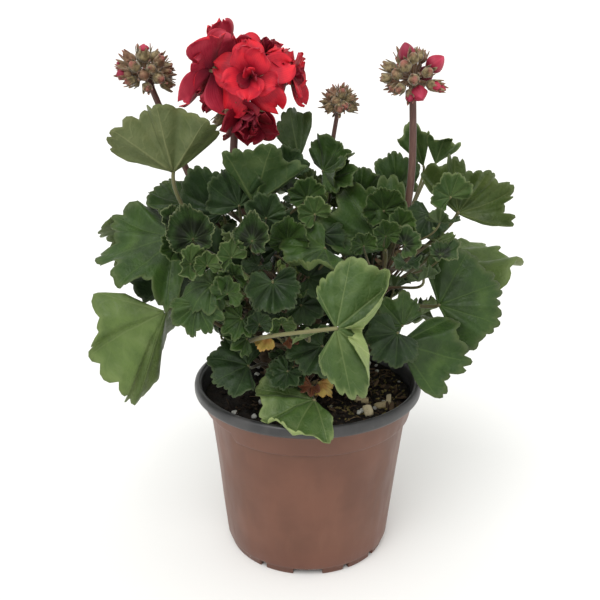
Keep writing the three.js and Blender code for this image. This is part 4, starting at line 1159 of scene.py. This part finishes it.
def shoot_leaves():
    """The smallest leaves, folded round the growing tip of each branch."""
    chance = np.random.default_rng(seeds["shoots"])
    made = []
    for branch, form in branches.items():
        top = np.array(form["bend"][3], float)
        for i in range(shoot["count"]):
            turn = i * golden_angle + chance.uniform(-0.3, 0.3)
            size = shoot["radius"] * (1 - 0.09 * i)
            outward = np.array([math.cos(turn), math.sin(turn), 0])
            hub = top + outward * size * 0.9 + [0, 0, 2 + i * 1.2]
            tip = hub + unit(outward * 0.4 + [0, 0, 1]) * size
            made.append(leaf_row(
                f"{branch}_shoot_{i}", branch, top[2] - 2, hub, tip, -outward + [0, 0, 0.4],
                spread=1.9, cup=0.5, ruffle=0.1, frill=0.08, pleat=0.09, teeth=3, tone="bright",
            ))
    return made


def make_foliage(rows, tones):
    """The small leaves, one piece for each branch."""
    order = ["green", "shaded", "zoned", "bright", "yellow", "brown"]
    materials = [material for tone in order for material in tones[tone]]
    for branch in branches:
        skin = Skin()
        for leaf in rows:
            if leaf["branch"] == branch:
                first = 3 * order.index(leaf.get("tone", "green"))
                fine = leaf.get("fine", 1)
                add_leaf(skin, {"teeth": 3, **leaf}, (first, first + 1, first + 2), 9 * fine, 6 * fine)
        finish_piece(skin, f"young_leaves_{branch}", materials)


# Flowers.

petal = {"steps": 14, "columns": 13, "half_thickness": 0.13, "ruffle": 0.085}


def add_petal(skin, place, axes, turn, length, width, lean, curl, cup, roll, chance, tint):
    """A petal that starts at place. lean is how far it rises from the flower's plane at its
    claw, curl how far it turns back by its tip, and roll how far it twists to one side."""
    share = np.sin(np.linspace(0.02, 1, petal["steps"]) * math.pi / 2)
    aside = np.linspace(-1, 1, petal["columns"])[:, None]
    ruffle = petal["ruffle"] * length
    widening = 0.16 + 0.84 * smooth(-0.05, 0.62, share)
    tip = np.sqrt(np.clip(1 - (np.clip(share - 0.66, 0, 1) / 0.35) ** 2, 0.004, 1))
    half = width / 2 * widening * tip
    notch = 1 - 0.07 * np.exp(-((aside / 0.25) ** 2)) - 0.045 * np.cos(9 * aside + chance.uniform(0, 6))
    angle = lean - curl * share**1.5 + 0.15 * np.sin(3 * share + chance.uniform(0, 6))
    pace = np.diff(share, prepend=0) * length
    out = np.cumsum(np.cos(angle) * pace)
    up = np.cumsum(np.sin(angle) * pace)
    y = aside * half
    waves = np.sin(3.4 * aside + chance.uniform(0, 6)) + 0.5 * np.sin(8 * aside + chance.uniform(0, 6))
    folds = 0.35 * ruffle * np.sin(11 * aside + chance.uniform(0, 6)) * share**5
    lift = cup * np.abs(aside) ** 1.7 * half + ruffle * waves * share**3 + folds
    lift = lift - 0.12 * half * np.exp(-((aside / 0.2) ** 2)) * (1 - share)
    lift = lift + np.tan(roll) * y * share
    skew = chance.uniform(-0.16, 0.16) * length * share**2
    x = out * (1 + (notch - 1) * share**6) - lift * np.sin(angle)
    z = up + lift * np.cos(angle)
    grid = np.stack(np.broadcast_arrays(x, y + skew, z), axis=2)
    c, s = math.cos(turn), math.sin(turn)
    spin = np.array([[c, s, 0], [-s, c, 0], [0, 0, 1]])
    middle = place + (grid @ spin) @ axes.T
    thick = petal["half_thickness"] * grid_normals(middle)
    maps = np.stack(np.broadcast_arrays(out / 100, y / 100, aside / 2 + 0.5, share), axis=2)
    skin.add_sheet(middle + thick, middle - thick, maps, (0, 1), tint)


# Each whorl of a double flower: petals, length and width in shares of the flower's radius,
# lean, curl, height of the claws and tint. The tint darkens the petals in painted shade, most
# on the inner whorl.
whorls = [
    (5, 1.04, 0.9, 0.0, 0.45, -0.05, 0.25),
    (5, 0.82, 0.66, 0.42, 0.45, 0.02, 0.3),
    (4, 0.48, 0.4, 0.95, 0.2, 0.06, 0.7),
]

calyx = {"depth": 3.5, "sepals": 5, "length": 8.5, "width": 2.6}


def add_calyx(skin, back, axes):
    """The sepals behind a flower."""
    face = axes[:, 2]
    for i in range(calyx["sepals"]):
        turn = 2 * math.pi * i / calyx["sepals"]
        side = axes @ np.array([math.cos(turn), math.sin(turn), 0])
        add_leaflet(
            skin, back + side * 0.8, side * 0.55 + face * 0.8, face - side,
            calyx["length"], calyx["width"], -0.5, 0.4, 2,
        )


def add_whorls(skin, row, deep, axes, chance):
    """All the petals of a double flower, from its deepest point."""
    face = axes[:, 2]
    radius = row["radius"]
    cup = row["cup"]
    broad = radius * row.get("width", 1)
    for count, length, width, lean, curl, height, tint in whorls:
        first = chance.uniform(0, 2 * math.pi)
        for i in range(count):
            turn = first + 2 * math.pi * (i + chance.uniform(-0.2, 0.2)) / count
            reach = radius * length * chance.uniform(0.8, 1.16) * (1 + 0.45 * cup)
            rise = lean + cup * 0.9 + chance.uniform(-0.36, 0.36)
            place = deep + face * radius * height
            bend = curl * (1 - 2 * cup) * chance.uniform(0.5, 1.5)
            shade = tint * chance.uniform(0, 2) + 1.4 * max(cup - 0.4, 0)
            add_petal(
                skin, place, axes, turn, reach, broad * width * chance.uniform(0.88, 1.16), rise, bend,
                chance.uniform(-0.3, 0.4), chance.uniform(-0.45, 0.45), chance, min(shade, 1),
            )


def make_floret(row):
    chance = np.random.default_rng(sum(map(ord, row["name"])))
    axes = basis(row["face"], chance.uniform(0, 2))
    face = axes[:, 2]
    skin = Skin()
    deep = np.array(row["centre"], float) - face * row["radius"] * (0.18 + 0.35 * row["cup"])
    add_whorls(skin, row, deep, axes, chance)
    back = deep - face * calyx["depth"]
    add_calyx(skin, back, axes)
    knot = np.array(open_head["bend"][3], float)
    bowed = back - face * 0.35 * np.linalg.norm(back - knot)
    pedicel = bezier([knot, knot * 0.5 + bowed * 0.5, bowed, back], 14)
    add_tube(skin, pedicel, np.linspace(0.75, 0.95, len(pedicel)), 8, 3)
    neck = np.stack([back - face * 0.5, back + face * 1.5, back + face * 3.5])
    add_tube(skin, neck, [1.2, 1.7, 1.3], 8, 2)
    return skin


def bud_rings(radii, levels, shift=0.0):
    """Ridged rings up a bud, each with its radius and height."""
    turns = np.linspace(0, 2 * math.pi, bud_shape["corners"], endpoint=False)
    ridges = 1 + 0.09 * np.cos(bud_shape["sepals"] * turns) + 0.02 * np.cos(9 * turns)
    ring = radii[:, None] * ridges
    levels = np.broadcast_to(levels[:, None], ring.shape)
    return np.stack([ring * np.cos(turns + shift), ring * np.sin(turns + shift), levels], axis=2)


def bud_maps(heights, length, radius):
    corners = bud_shape["corners"] + 1
    maps = np.zeros((len(heights), corners, 4))
    maps[..., 0] = np.linspace(0, 2 * math.pi * radius / 100, corners)
    maps[..., 1] = (heights * length / 100)[:, None]
    maps[..., 2] = np.linspace(0, 1, corners)
    maps[..., 3] = heights[:, None]
    return maps


def add_bud(skin, place, direction, length, radius, own, chance):
    """A closed bud in five sepals, slot 0. own is the share of it that its coloured petals,
    slot 1, make up."""
    axes = basis(direction, chance.uniform(0, 6))
    heights = np.array([0.02, 0.12, 0.25, 0.4, 0.55, 0.7, 0.83, 0.93])
    swell = radius * np.sin(math.pi * heights**0.75) ** 0.7
    ends = np.array([[0, 0, 0], [0, 0, length]])
    maps = bud_maps(heights, length, radius)
    tint = chance.uniform(0, 1)
    opened = own > bud_shape["closed_share"]
    body = bud_rings(swell, heights * length)
    skin.add_rings(place + body @ axes.T, place + ends @ axes.T, maps, int(opened), tint)
    if own > 0 and not opened:
        peak = length * (1 - 0.9 * own) + heights * length * own * 1.1
        tip = bud_rings(swell * 0.8, peak, 0.6)
        tip_ends = np.array([[0, 0, peak[0] - 0.3], [0, 0, length * (1 + 0.25 * own)]])
        skin.add_rings(place + tip @ axes.T, place + tip_ends @ axes.T, maps, 1, tint)
    for i in range(bud_shape["sepals"]):
        turn = 2 * math.pi * (i + 0.5 * (own > 0)) / bud_shape["sepals"]
        side = axes @ np.array([math.cos(turn), math.sin(turn), 0])
        start = 0.0 if opened else 0.3
        at = place + axes[:, 2] * length * start + side * radius * (0.3 if opened else 0.85)
        reach = length * (0.55 if opened else 0.78) * chance.uniform(0.85, 1.15)
        flare = 0.45 if opened else chance.uniform(0.0, 0.35)
        along = axes[:, 2] + side * flare
        add_leaflet(skin, at, along, side, reach, bud_shape["sepal_width"], -0.35, -0.35, 0, tint)


bracts = {"count": 9, "length": 5.5, "width": 2.6}


def add_bracts(skin, top):
    """The ring of bracts under the buds."""
    for i in range(bracts["count"]):
        turn = 2 * math.pi * i / bracts["count"]
        side = np.array([math.cos(turn), math.sin(turn), 0])
        root = top + side * 1.2 - [0, 0, 1.5]
        along = side + [0, 0, -0.1]
        add_leaflet(skin, root, along, [0, 0, 1], bracts["length"], bracts["width"], -0.3, 0.2)


def umbel_rows(coloured, count, low, chance):
    """Direction, length and share of own petals of each bud. The coloured ones push others out."""
    rows = []
    for i in range(count):
        rise = 1 - (1 - low) * (i + 0.5) / count
        flat = math.sqrt(1 - rise * rise)
        turn = golden_angle * i
        direction = np.array([flat * math.cos(turn), flat * math.sin(turn), rise])
        if any(unit(c[0]) @ direction > 0.93 for c in coloured):
            continue
        rows.append((direction, bud_shape["length"] * chance.uniform(0.75, 1.05), 0.0))
    return rows + [(unit(direction), length, own) for direction, length, own in coloured]


def add_umbel(skin, row, top, chance):
    """Buds on short stalks in every direction from the top of a flower stalk, down to the
    lowest one's slope."""
    lowest = row.get("lowest", -0.5)
    for direction, length, own in umbel_rows(row["coloured"], row["count"], lowest, chance):
        direction = unit(direction + chance.normal(size=3) * 0.08)
        stem = row["reach"] * chance.uniform(0.75, 1.15)
        bowed = top + direction * stem * 0.5 + np.array([0, 0, 1.2])
        base = top + direction * stem
        path = bezier([top, bowed, base - direction * 0.5, base + direction * 0.6], 6)
        add_tube(skin, path, 0.75, 7, 2)
        radius = bud_shape["radius"] * (1.45 if own > bud_shape["closed_share"] else 1.0)
        add_bud(skin, base, direction, length, radius * chance.uniform(0.85, 1.1), own, chance)
    add_bracts(skin, top)


def add_flower_stalk(skin, row):
    """The stalk, slot 3, with a knot at each end."""
    path = bezier(row["bend"], 40)
    share = np.linspace(0, 1, len(path))
    knots = 0.35 * smooth(0.96, 1.0, share) + 0.15 * smooth(0.06, 0.0, share)
    radii = row["radius"] * (1.12 - 0.2 * share + knots)
    add_tube(skin, path, radii, 14, 3)


def make_bud_head(row):
    chance = np.random.default_rng(len(row["name"]) * 31)
    skin = Skin()
    add_flower_stalk(skin, row)
    top = np.array(row["bend"][3], float)
    add_umbel(skin, row, top, chance)
    return skin


def make_open_head_stalk():
    chance = np.random.default_rng(seeds["open_head"])
    skin = Skin()
    add_flower_stalk(skin, open_head)
    top = np.array(open_head["bend"][3], float)
    add_umbel(skin, young_buds, top, chance)
    return skin


# The colours of the petals: deep, which is painted shade, middle, bright, which is painted light, and veins.
petal_colours = {
    "petal": ((84, 6, 26), (172, 14, 40), (216, 32, 48), (116, 6, 28)),
    "petal_back": ((104, 18, 38), (158, 32, 54), (182, 54, 72), (120, 20, 42)),
    "bud_petal": ((112, 22, 48), (158, 34, 60), (186, 62, 88), (110, 18, 40)),
}


def make_flowers():
    inside, outside, coloured = (
        petal_surface(name, *(paint(*colour) for colour in colours))
        for name, colours in petal_colours.items()
    )
    sepals = sepal_surface()
    pedicel = stalk_surface("pedicel", paint(96, 74, 56), paint(120, 98, 70), paint(110, 66, 56))
    purple = stalk_surface("flower_stalk", paint(92, 66, 56), paint(86, 56, 52), paint(120, 92, 78))
    for row in floret_rows:
        name = row["name"]
        surfaces = [inside, outside, sepals, pedicel]
        finish_piece(make_floret(row), f"bloom_{name}", surfaces, f"floret_{name}")
    surfaces = [sepals, coloured, pedicel, purple]
    finish_piece(make_open_head_stalk(), "open_head", surfaces, "flower_stalk_open_head")
    for row in bud_head_rows:
        name = row["name"]
        finish_piece(make_bud_head(row), f"buds_{name}", surfaces, f"bud_head_{name}")


# The pot.


def raised_by(turn):
    """How far the shoulder is raised at a turn in degrees."""
    rise = 0
    for low, high in raised_shoulder["sectors"]:
        jog = raised_shoulder["jog"]
        for lap in (-360, 0, 360):
            at = turn + lap
            rise = max(rise, smooth(low, low + jog, at) * smooth(high, high - jog, at))
    return rise * raised_shoulder["rise"]


def foot_level(turn):
    """Where the foot ring ends at a turn in degrees: on the floor, or higher in a notch."""
    for angle, width in foot_notches:
        half = math.degrees(width / 2 / pot["foot_radius"])
        if abs((turn - angle + 180) % 360 - 180) < half:
            return notch_height
    return 0.0


def pot_turns():
    """Even turns round the pot, in degrees, with a pair at each side of each notch."""
    turns = set(np.round(np.linspace(-180, 180, pot["corners"], endpoint=False), 3).tolist())
    for angle, width in foot_notches:
        half = math.degrees(width / 2 / pot["foot_radius"])
        for side in (-half, half):
            for gap in (-0.12, 0.12):
                turns.add(round((angle + side + gap + 180) % 360 - 180, 3))
    return np.array(sorted(turns))


def lining_points(rise=0.0):
    """The pot's inside, from its upper edge down to the middle of its floor."""
    wall = pot["wall"]
    floor = pot["foot_height"] + wall
    shoulder = pot["shoulder_radius"]
    step = pot["shoulder_step"]
    return [
        (pot["collar_radius"] - wall, pot["height"] - pot["rim_depth"]),
        (shoulder + step - wall + 0.3 * rise, pot["shoulder_height"] + 1.5 + rise),
        (shoulder - wall + 0.1 * rise, pot["shoulder_height"] + rise),
        (pot["foot_curve"] - wall, floor + 2),
        (pot["foot_curve"] - wall - 0.7, floor + 0.6),
        (pot["foot_curve"] - wall - 2, floor),
        (pot["foot_curve"] * 0.5, floor),
        (1, floor),
    ]


def foot_points(level):
    """The underside, and the foot ring that ends at this level."""
    foot = pot["foot_radius"]
    inner = foot - pot["foot_width"]
    floor = pot["foot_height"]
    curve = pot["foot_curve"]
    return [
        (1, floor), (foot * 0.6, floor), (inner - 0.5, floor), (inner - 0.1, min(level + 0.5, floor - 0.2)),
        (inner + 0.3, level), (foot - 0.4, level), (foot, min(level + 0.4, floor - 0.3)),
        (foot + 0.5, floor - 0.25), (curve - 1.0, floor + 0.1), (curve - 0.35, floor + 0.9),
        (curve, floor + 2),
    ]


def wall_points(rise):
    """The outside of the wall and of the wider collar over the shoulder."""
    start = pot["foot_height"] + 2
    slope = (pot["shoulder_radius"] - pot["foot_curve"]) / (pot["shoulder_height"] - start)
    shoulder = pot["shoulder_height"] + rise
    under_rim = pot["height"] - pot["rim_depth"] - 1
    base = pot["shoulder_height"] + 1.5
    narrow = pot["shoulder_radius"] + pot["shoulder_step"]

    def wall(at, out=0.0):
        return pot["foot_curve"] + slope * (at - start) + out, at

    def collar(at, out=0.0):
        return narrow + (pot["collar_radius"] - narrow) * (at - base) / (under_rim - base) + out, at

    straight = [wall(at) for at in np.linspace(start + 6, pot["shoulder_height"] - 6, 8)]
    return straight + [
        wall(shoulder - 1.2), wall(shoulder - 0.5, 0.05), wall(shoulder, 0.45),
        (collar(shoulder + 1, -0.35)[0], shoulder + 0.75), (collar(shoulder + 1.2)[0], shoulder + 1.3),
        collar(shoulder + 2.4), collar(under_rim - 2.5), collar(under_rim - 0.4),
    ]


def rim_points():
    """The rolled rim, from its underside over its top to the inside."""
    under = pot["height"] - pot["rim_depth"] - 1
    height = pot["height"]
    rim = pot["rim_radius"]
    collar = pot["collar_radius"]
    return [
        (rim - 2.2, under + 0.3), (rim - 0.9, under + 0.7), (rim - 0.25, under + 1.5), (rim, under + 2.6),
        (rim, height - 2.4), (rim - 0.3, height - 1.1), (rim - 1.1, height - 0.3), (rim - 2.1, height),
        (collar + 0.9, height - 0.1), (collar + 0.1, height - 0.6), (collar - 0.4, height - 1.7),
    ]


def pot_profile(turn):
    """Points (radius, height) from the middle of the underside, over the rim, to the middle
    of the inside. The second list is the part with the dark lining."""
    rise = raised_by(turn)
    return foot_points(foot_level(turn)) + wall_points(rise), rim_points() + lining_points(rise)


def make_pot():
    turns = pot_turns()
    profiles = [pot_profile(turn) for turn in turns]
    outside_count = len(profiles[0][0])
    table = np.array([[*outside, *lining] for outside, lining in profiles])
    radius = table[..., 0]
    height = table[..., 1]
    angle = np.radians(turns)[:, None]
    places = np.stack([radius * np.cos(angle), radius * np.sin(angle), height], axis=2)
    bulge = wobble(places, 70, 11) * 0.35 * smooth(8, 40, height) * smooth(104, 88, height)
    places[..., :2] *= (1 + bulge / np.maximum(radius, 20))[..., None]
    rings = places.transpose(1, 0, 2)
    ends = [(0, 0, pot["foot_height"]), (0, 0, pot["foot_height"] + pot["wall"])]
    slots = np.array([0] * (outside_count - 1) + [1] * (len(rings) - outside_count))
    skin = Skin()
    skin.add_rings(rings, ends, None, slots)
    piece = finish_piece(skin, "pot_body", [pot_surface(), rim_surface()], "pot")
    drill(piece)


def drill(piece):
    """Cuts the drain holes through the pot's floor."""
    cutter = bmesh.new()
    radius = drain_holes["radius"] * MM
    ring = drain_holes["ring_radius"] * MM
    for i in range(drain_holes["count"]):
        turn = 2 * math.pi * (i + 0.5) / drain_holes["count"]
        made = bmesh.ops.create_cone(
            cutter, cap_ends=True, segments=drain_holes["segments"], radius1=radius,
            radius2=radius, depth=drain_holes["depth"] * MM,
        )
        shift = (ring * math.cos(turn), ring * math.sin(turn), (pot["foot_height"] + 0.7) * MM)
        bmesh.ops.translate(cutter, verts=made["verts"], vec=shift)
    mesh = bpy.data.meshes.new("drain_holes")
    cutter.to_mesh(mesh)
    cutter.free()
    holes = bpy.data.objects.new("drain_holes", mesh)
    bpy.context.collection.objects.link(holes)
    modifier = piece.modifiers.new("holes", "BOOLEAN")
    modifier.operation = "DIFFERENCE"
    modifier.object = holes
    modifier.solver = "EXACT"
    shown = piece.evaluated_get(bpy.context.evaluated_depsgraph_get())
    cut = bpy.data.meshes.new_from_object(shown)
    piece.modifiers.clear()
    piece.data = cut
    bpy.data.objects.remove(holes)


# The soil.


def soil_edge(height):
    inside = np.array(lining_points())[::-1]
    return np.interp(height, inside[:, 1], inside[:, 0]) - soil["clearance"]


def soil_height(x, y):
    from_middle = np.hypot(x, y) / soil_edge(soil["level"])
    crown = soil["crown"] * (1 - from_middle**2)
    lumps = np.sin(0.21 * x + 0.4) * np.cos(0.19 * y - 0.7) + 0.5 * np.sin(0.43 * x - 0.3 * y)
    places = np.stack([x, y, 0 * x], axis=-1)
    clods = 0.9 * wobble(places, 13, 3) + 0.55 * wobble(places, 5, 4) + 0.3 * wobble(places, 2.4, 5)
    lumps = soil["lump"] * lumps * (1 - from_middle)
    return soil["level"] + crown + lumps + clods * (1 - 0.5 * from_middle**4)


def make_soil():
    corners = soil["corners"]
    angle = np.linspace(0, 2 * math.pi, corners, endpoint=False)
    floor = pot["foot_height"] + pot["wall"] + soil["clearance"]
    shoulder = pot["shoulder_height"]
    raised = shoulder + raised_shoulder["rise"] + 2
    sides = [(soil_edge(floor + 2.2) - 2.2, floor)]
    sides += [(soil_edge(level), level) for level in (floor + 2.2, shoulder)]
    sides += [(soil_edge(shoulder), raised), (soil_edge(raised + 1.2), raised + 1.2)]
    sides += [(soil_edge(soil["level"] - 1.5), soil["level"] - 1.5)]
    rings = [
        np.stack([r * np.cos(angle), r * np.sin(angle), np.full(corners, z)], axis=1)
        for r, z in sides
    ]
    edge = soil_edge(soil["level"]) - 0.2
    for share in np.linspace(1, 0.015, soil["rings"]):
        x = edge * share * np.cos(angle)
        y = edge * share * np.sin(angle)
        rings.append(np.stack([x, y, soil_height(x, y)], axis=1))
    top = soil_height(np.zeros(1), np.zeros(1))[0]
    skin = Skin()
    skin.add_rings(np.array(rings), [(0, 0, floor), (0, 0, top)])
    finish_piece(skin, "peat", [peat_surface()], "soil")


def ball():
    made = bmesh.new()
    bmesh.ops.create_icosphere(made, subdivisions=2, radius=1)
    points = np.array([vertex.co for vertex in made.verts])
    faces = np.array([[vertex.index for vertex in face.verts] for face in made.faces])
    made.free()
    return points, faces


def scatter(skin, count, sizes, shape, chance, where, rough=0.28, sink=0.3, boxy=1.0):
    """Lays lumps on the soil. shape stretches a lump of size 1, and where picks their places.
    rough is how uneven they are, and sink the share that lies in the soil. A lump is round
    at boxy 1 and nears a block as boxy nears 0."""
    points, faces = ball()
    points = np.sign(points) * np.abs(points) ** boxy
    for _ in range(count):
        x, y = where(chance)
        size = chance.uniform(*sizes) / 2
        lump = points * (1 + rough * wobble(points, 1.5, int(chance.integers(1 << 30)))[:, None])
        lump = lump * np.array(shape) * chance.uniform(0.75, 1.3, 3) * size
        tilt = unit(np.array([0, 0, 1]) + chance.normal(size=3) * 0.35)
        lump = lump @ basis(tilt, chance.uniform(0, 2 * math.pi)).T
        height = soil_height(np.array([x]), np.array([y]))[0]
        lump = lump + [x, y, height - lump[:, 2].min() * (1 - sink) * 0.8]
        start = skin.add_points(lump, chance.uniform(0, 1))
        skin.add_faces(faces + start)


def on_soil(low=0.0, high=0.96, from_turn=0.0, to_turn=360.0):
    """A chooser of places on the soil, between shares of its radius and turns in degrees."""
    def choose(chance):
        share = math.sqrt(chance.uniform(low**2, high**2))
        turn = math.radians(chance.uniform(from_turn, to_turn))
        edge = soil_edge(soil["level"])
        return share * edge * math.cos(turn), share * edge * math.sin(turn)
    return choose


# The cream chips of wood: where each lies, and how long it is.
wood_chips = [(30, -21, 10), (42, -23, 10.5), (33, -35, 9.5), (46, -17, 7), (22, -48, 6), (-9, -56, 4.5)]


def crumb_lumps(skin, chance):
    scatter(skin, 330, (1.2, 3.4), (1, 0.8, 0.6), chance, on_soil())


def bark_lumps(skin, chance):
    scatter(skin, 56, (3, 7), (1, 0.45, 0.22), chance, on_soil(0.35, 0.97, -75, 60), 0.2, 0.2)
    scatter(skin, 24, (2.5, 5), (1, 0.4, 0.2), chance, on_soil(), 0.2, 0.2)


def wood_lumps(skin, chance):
    for x, y, size in wood_chips:
        scatter(
            skin, 1, (size, size), (0.8, 0.55, 0.32), chance, lambda _, place=(x, y): place,
            rough=0.16, sink=0.1, boxy=0.4,
        )


def perlite_lumps(skin, chance):
    scatter(skin, 34, (1.8, 3.6), (1, 0.9, 0.8), chance, on_soil(0.3), 0.2, 0.35)


def moss_lumps(skin, chance):
    scatter(skin, 210, (0.7, 2.2), (1, 0.7, 0.5), chance, on_soil(0.45, 0.97, -70, 20), 0.4, 0.2)


fibre = {"count": 50, "length": (4, 11), "lift": (0.4, 2.2), "radius": (0.15, 0.4)}


def root_fibres(skin, chance):
    for _ in range(fibre["count"]):
        x, y = on_soil()(chance)
        height = soil_height(np.array([x]), np.array([y]))[0]
        turn = chance.uniform(0, 2 * math.pi)
        reach = chance.uniform(*fibre["length"]) * np.array([math.cos(turn), math.sin(turn), 0])
        lift = np.array([0, 0, chance.uniform(*fibre["lift"])])
        place = np.array([x, y, height])
        inward = place * [0.97, 0.97, 1] - reach / 2
        bend = [inward, inward + reach * 0.3 + lift, inward + reach * 0.7 + lift * 0.6, inward + reach]
        thick = chance.uniform(*fibre["radius"])
        add_tube(skin, bezier(bend, 7), thick, 5, 0, tint=chance.uniform(0, 1))


# What lies on the soil: the piece, its material, how it is laid out, its dark, light and
# speck colours, and its roughness.
litter_rows = [
    ("peat_crumbs", "crumbs", crumb_lumps, (22, 19, 16), (58, 46, 36), (92, 74, 56), 0.85),
    ("bark_chips", "bark_chips", bark_lumps, (44, 34, 26), (112, 92, 68), (66, 52, 40), 0.85),
    ("wood_chips", "wood_chips", wood_lumps, (168, 152, 116), (206, 194, 160), (116, 96, 70), 0.75),
    ("perlite", "perlite", perlite_lumps, (176, 176, 170), (214, 214, 206), (142, 142, 134), 0.7),
    ("moss_bits", "moss", moss_lumps, (84, 76, 42), (138, 126, 78), (66, 56, 36), 0.85),
    ("root_fibres", "fibres", root_fibres, (58, 46, 36), (120, 100, 76), (52, 42, 32), 0.85),
]


def make_soil_litter():
    chance = np.random.default_rng(seeds["litter"])
    for name, material, lay_out, dark, light, speck, roughness in litter_rows:
        skin = Skin()
        lay_out(skin, chance)
        surface = crumb_surface(material, paint(*dark), paint(*light), paint(*speck), roughness)
        finish_piece(skin, name, [surface])


# The woody branches.

bark = {
    "scar_spacing": 11, "scar_height": 0.55, "scar_width": 1.1,
    "lump_height": 0.25, "lump_size": 5, "steps": 110, "corners": 18,
}
stipule = {"length": (4.5, 7), "width": 0.62, "out": 2.4, "aside": 1.2}


def bark_relief(seed):
    """Leaf scars ring the branch, and the bark between them is uneven."""
    def relief(rings, centres):
        height = centres[:, 2][:, None]
        nearest = (height / bark["scar_spacing"] + 0.5) % 1 - 0.5
        scar = np.exp(-((nearest * bark["scar_spacing"] / bark["scar_width"]) ** 2))
        return bark["scar_height"] * scar + bark["lump_height"] * wobble(rings, bark["lump_size"], seed)
    return relief


def make_branches():
    skin = Skin()
    for seed, branch in enumerate(branches.values()):
        path = bezier(branch["bend"], bark["steps"])
        share = np.linspace(0, 1, len(path))
        radii = branch["radius"] * (1.0 - 0.3 * share) - 0.3
        add_tube(skin, path, radii, bark["corners"], 0, bark_relief(seed))
    finish_piece(skin, "branches", [bark_surface()], "stems")


def make_stipules(rows):
    """A pair of small bracts where each leaf stalk leaves its branch."""
    chance = np.random.default_rng(seeds["stipules"])
    skin = Skin()
    for leaf in rows:
        hub = np.array(leaf["hub"], float)
        root = branch_point(leaf["branch"], leaf["height"])
        outward = unit([*(hub - root)[:2], 0])
        side = np.cross([0, 0, 1], outward)
        for sign in (-1, 1):
            along = outward * 0.6 + side * sign * 0.7 + np.array([0, 0, 0.6])
            length = chance.uniform(*stipule["length"])
            at = root + outward * stipule["out"] + side * sign * stipule["aside"]
            width = length * stipule["width"]
            add_leaflet(skin, at, along, outward, length, width, -0.4, 0.2, 0, chance.uniform(0, 1))
    finish_piece(skin, "stipules", [sepal_surface()])


# The floor and the light. The floor's half width is in metres, and the angles in degrees.

studio = {
    "floor": 400,
    "sky": (1, 1, 0.985, 1),
    "sky_strength": 1.0,
    "sun": 1.6,
    "sun_width": 38,
    "sun_tilt": (34, -14, 0),
}


def make_floor():
    mesh = bpy.data.meshes.new("floor")
    far = studio["floor"]
    corners = [(-far, -far, 0), (far, -far, 0), (far, far, 0), (-far, far, 0)]
    mesh.from_pydata(corners, [], [(0, 1, 2, 3)])
    mesh.materials.append(floor_surface())
    floor = bpy.data.objects.new("floor", mesh)
    bpy.context.collection.objects.link(floor)


def make_light():
    world = bpy.data.worlds.new("studio")
    world.use_nodes = True
    sky = world.node_tree.nodes["Background"]
    sky.inputs["Color"].default_value = studio["sky"]
    sky.inputs["Strength"].default_value = studio["sky_strength"]
    bpy.context.scene.world = world
    bpy.context.scene.view_settings.view_transform = "Standard"
    data = bpy.data.lights.new("key", "SUN")
    data.energy = studio["sun"]
    data.angle = math.radians(studio["sun_width"])
    lamp = bpy.data.objects.new("key", data)
    lamp.rotation_euler = [math.radians(turn) for turn in studio["sun_tilt"]]
    bpy.context.collection.objects.link(lamp)


make_floor()
make_light()
make_pot()
make_soil()
make_soil_litter()
make_branches()
tones = leaf_materials()
make_leaves(leaf_rows, tones)
small_rows = young_rows + filling_leaves(leaf_rows + young_rows) + shoot_leaves()
make_foliage(small_rows, tones)
make_stipules(leaf_rows + young_rows)
make_flowers()
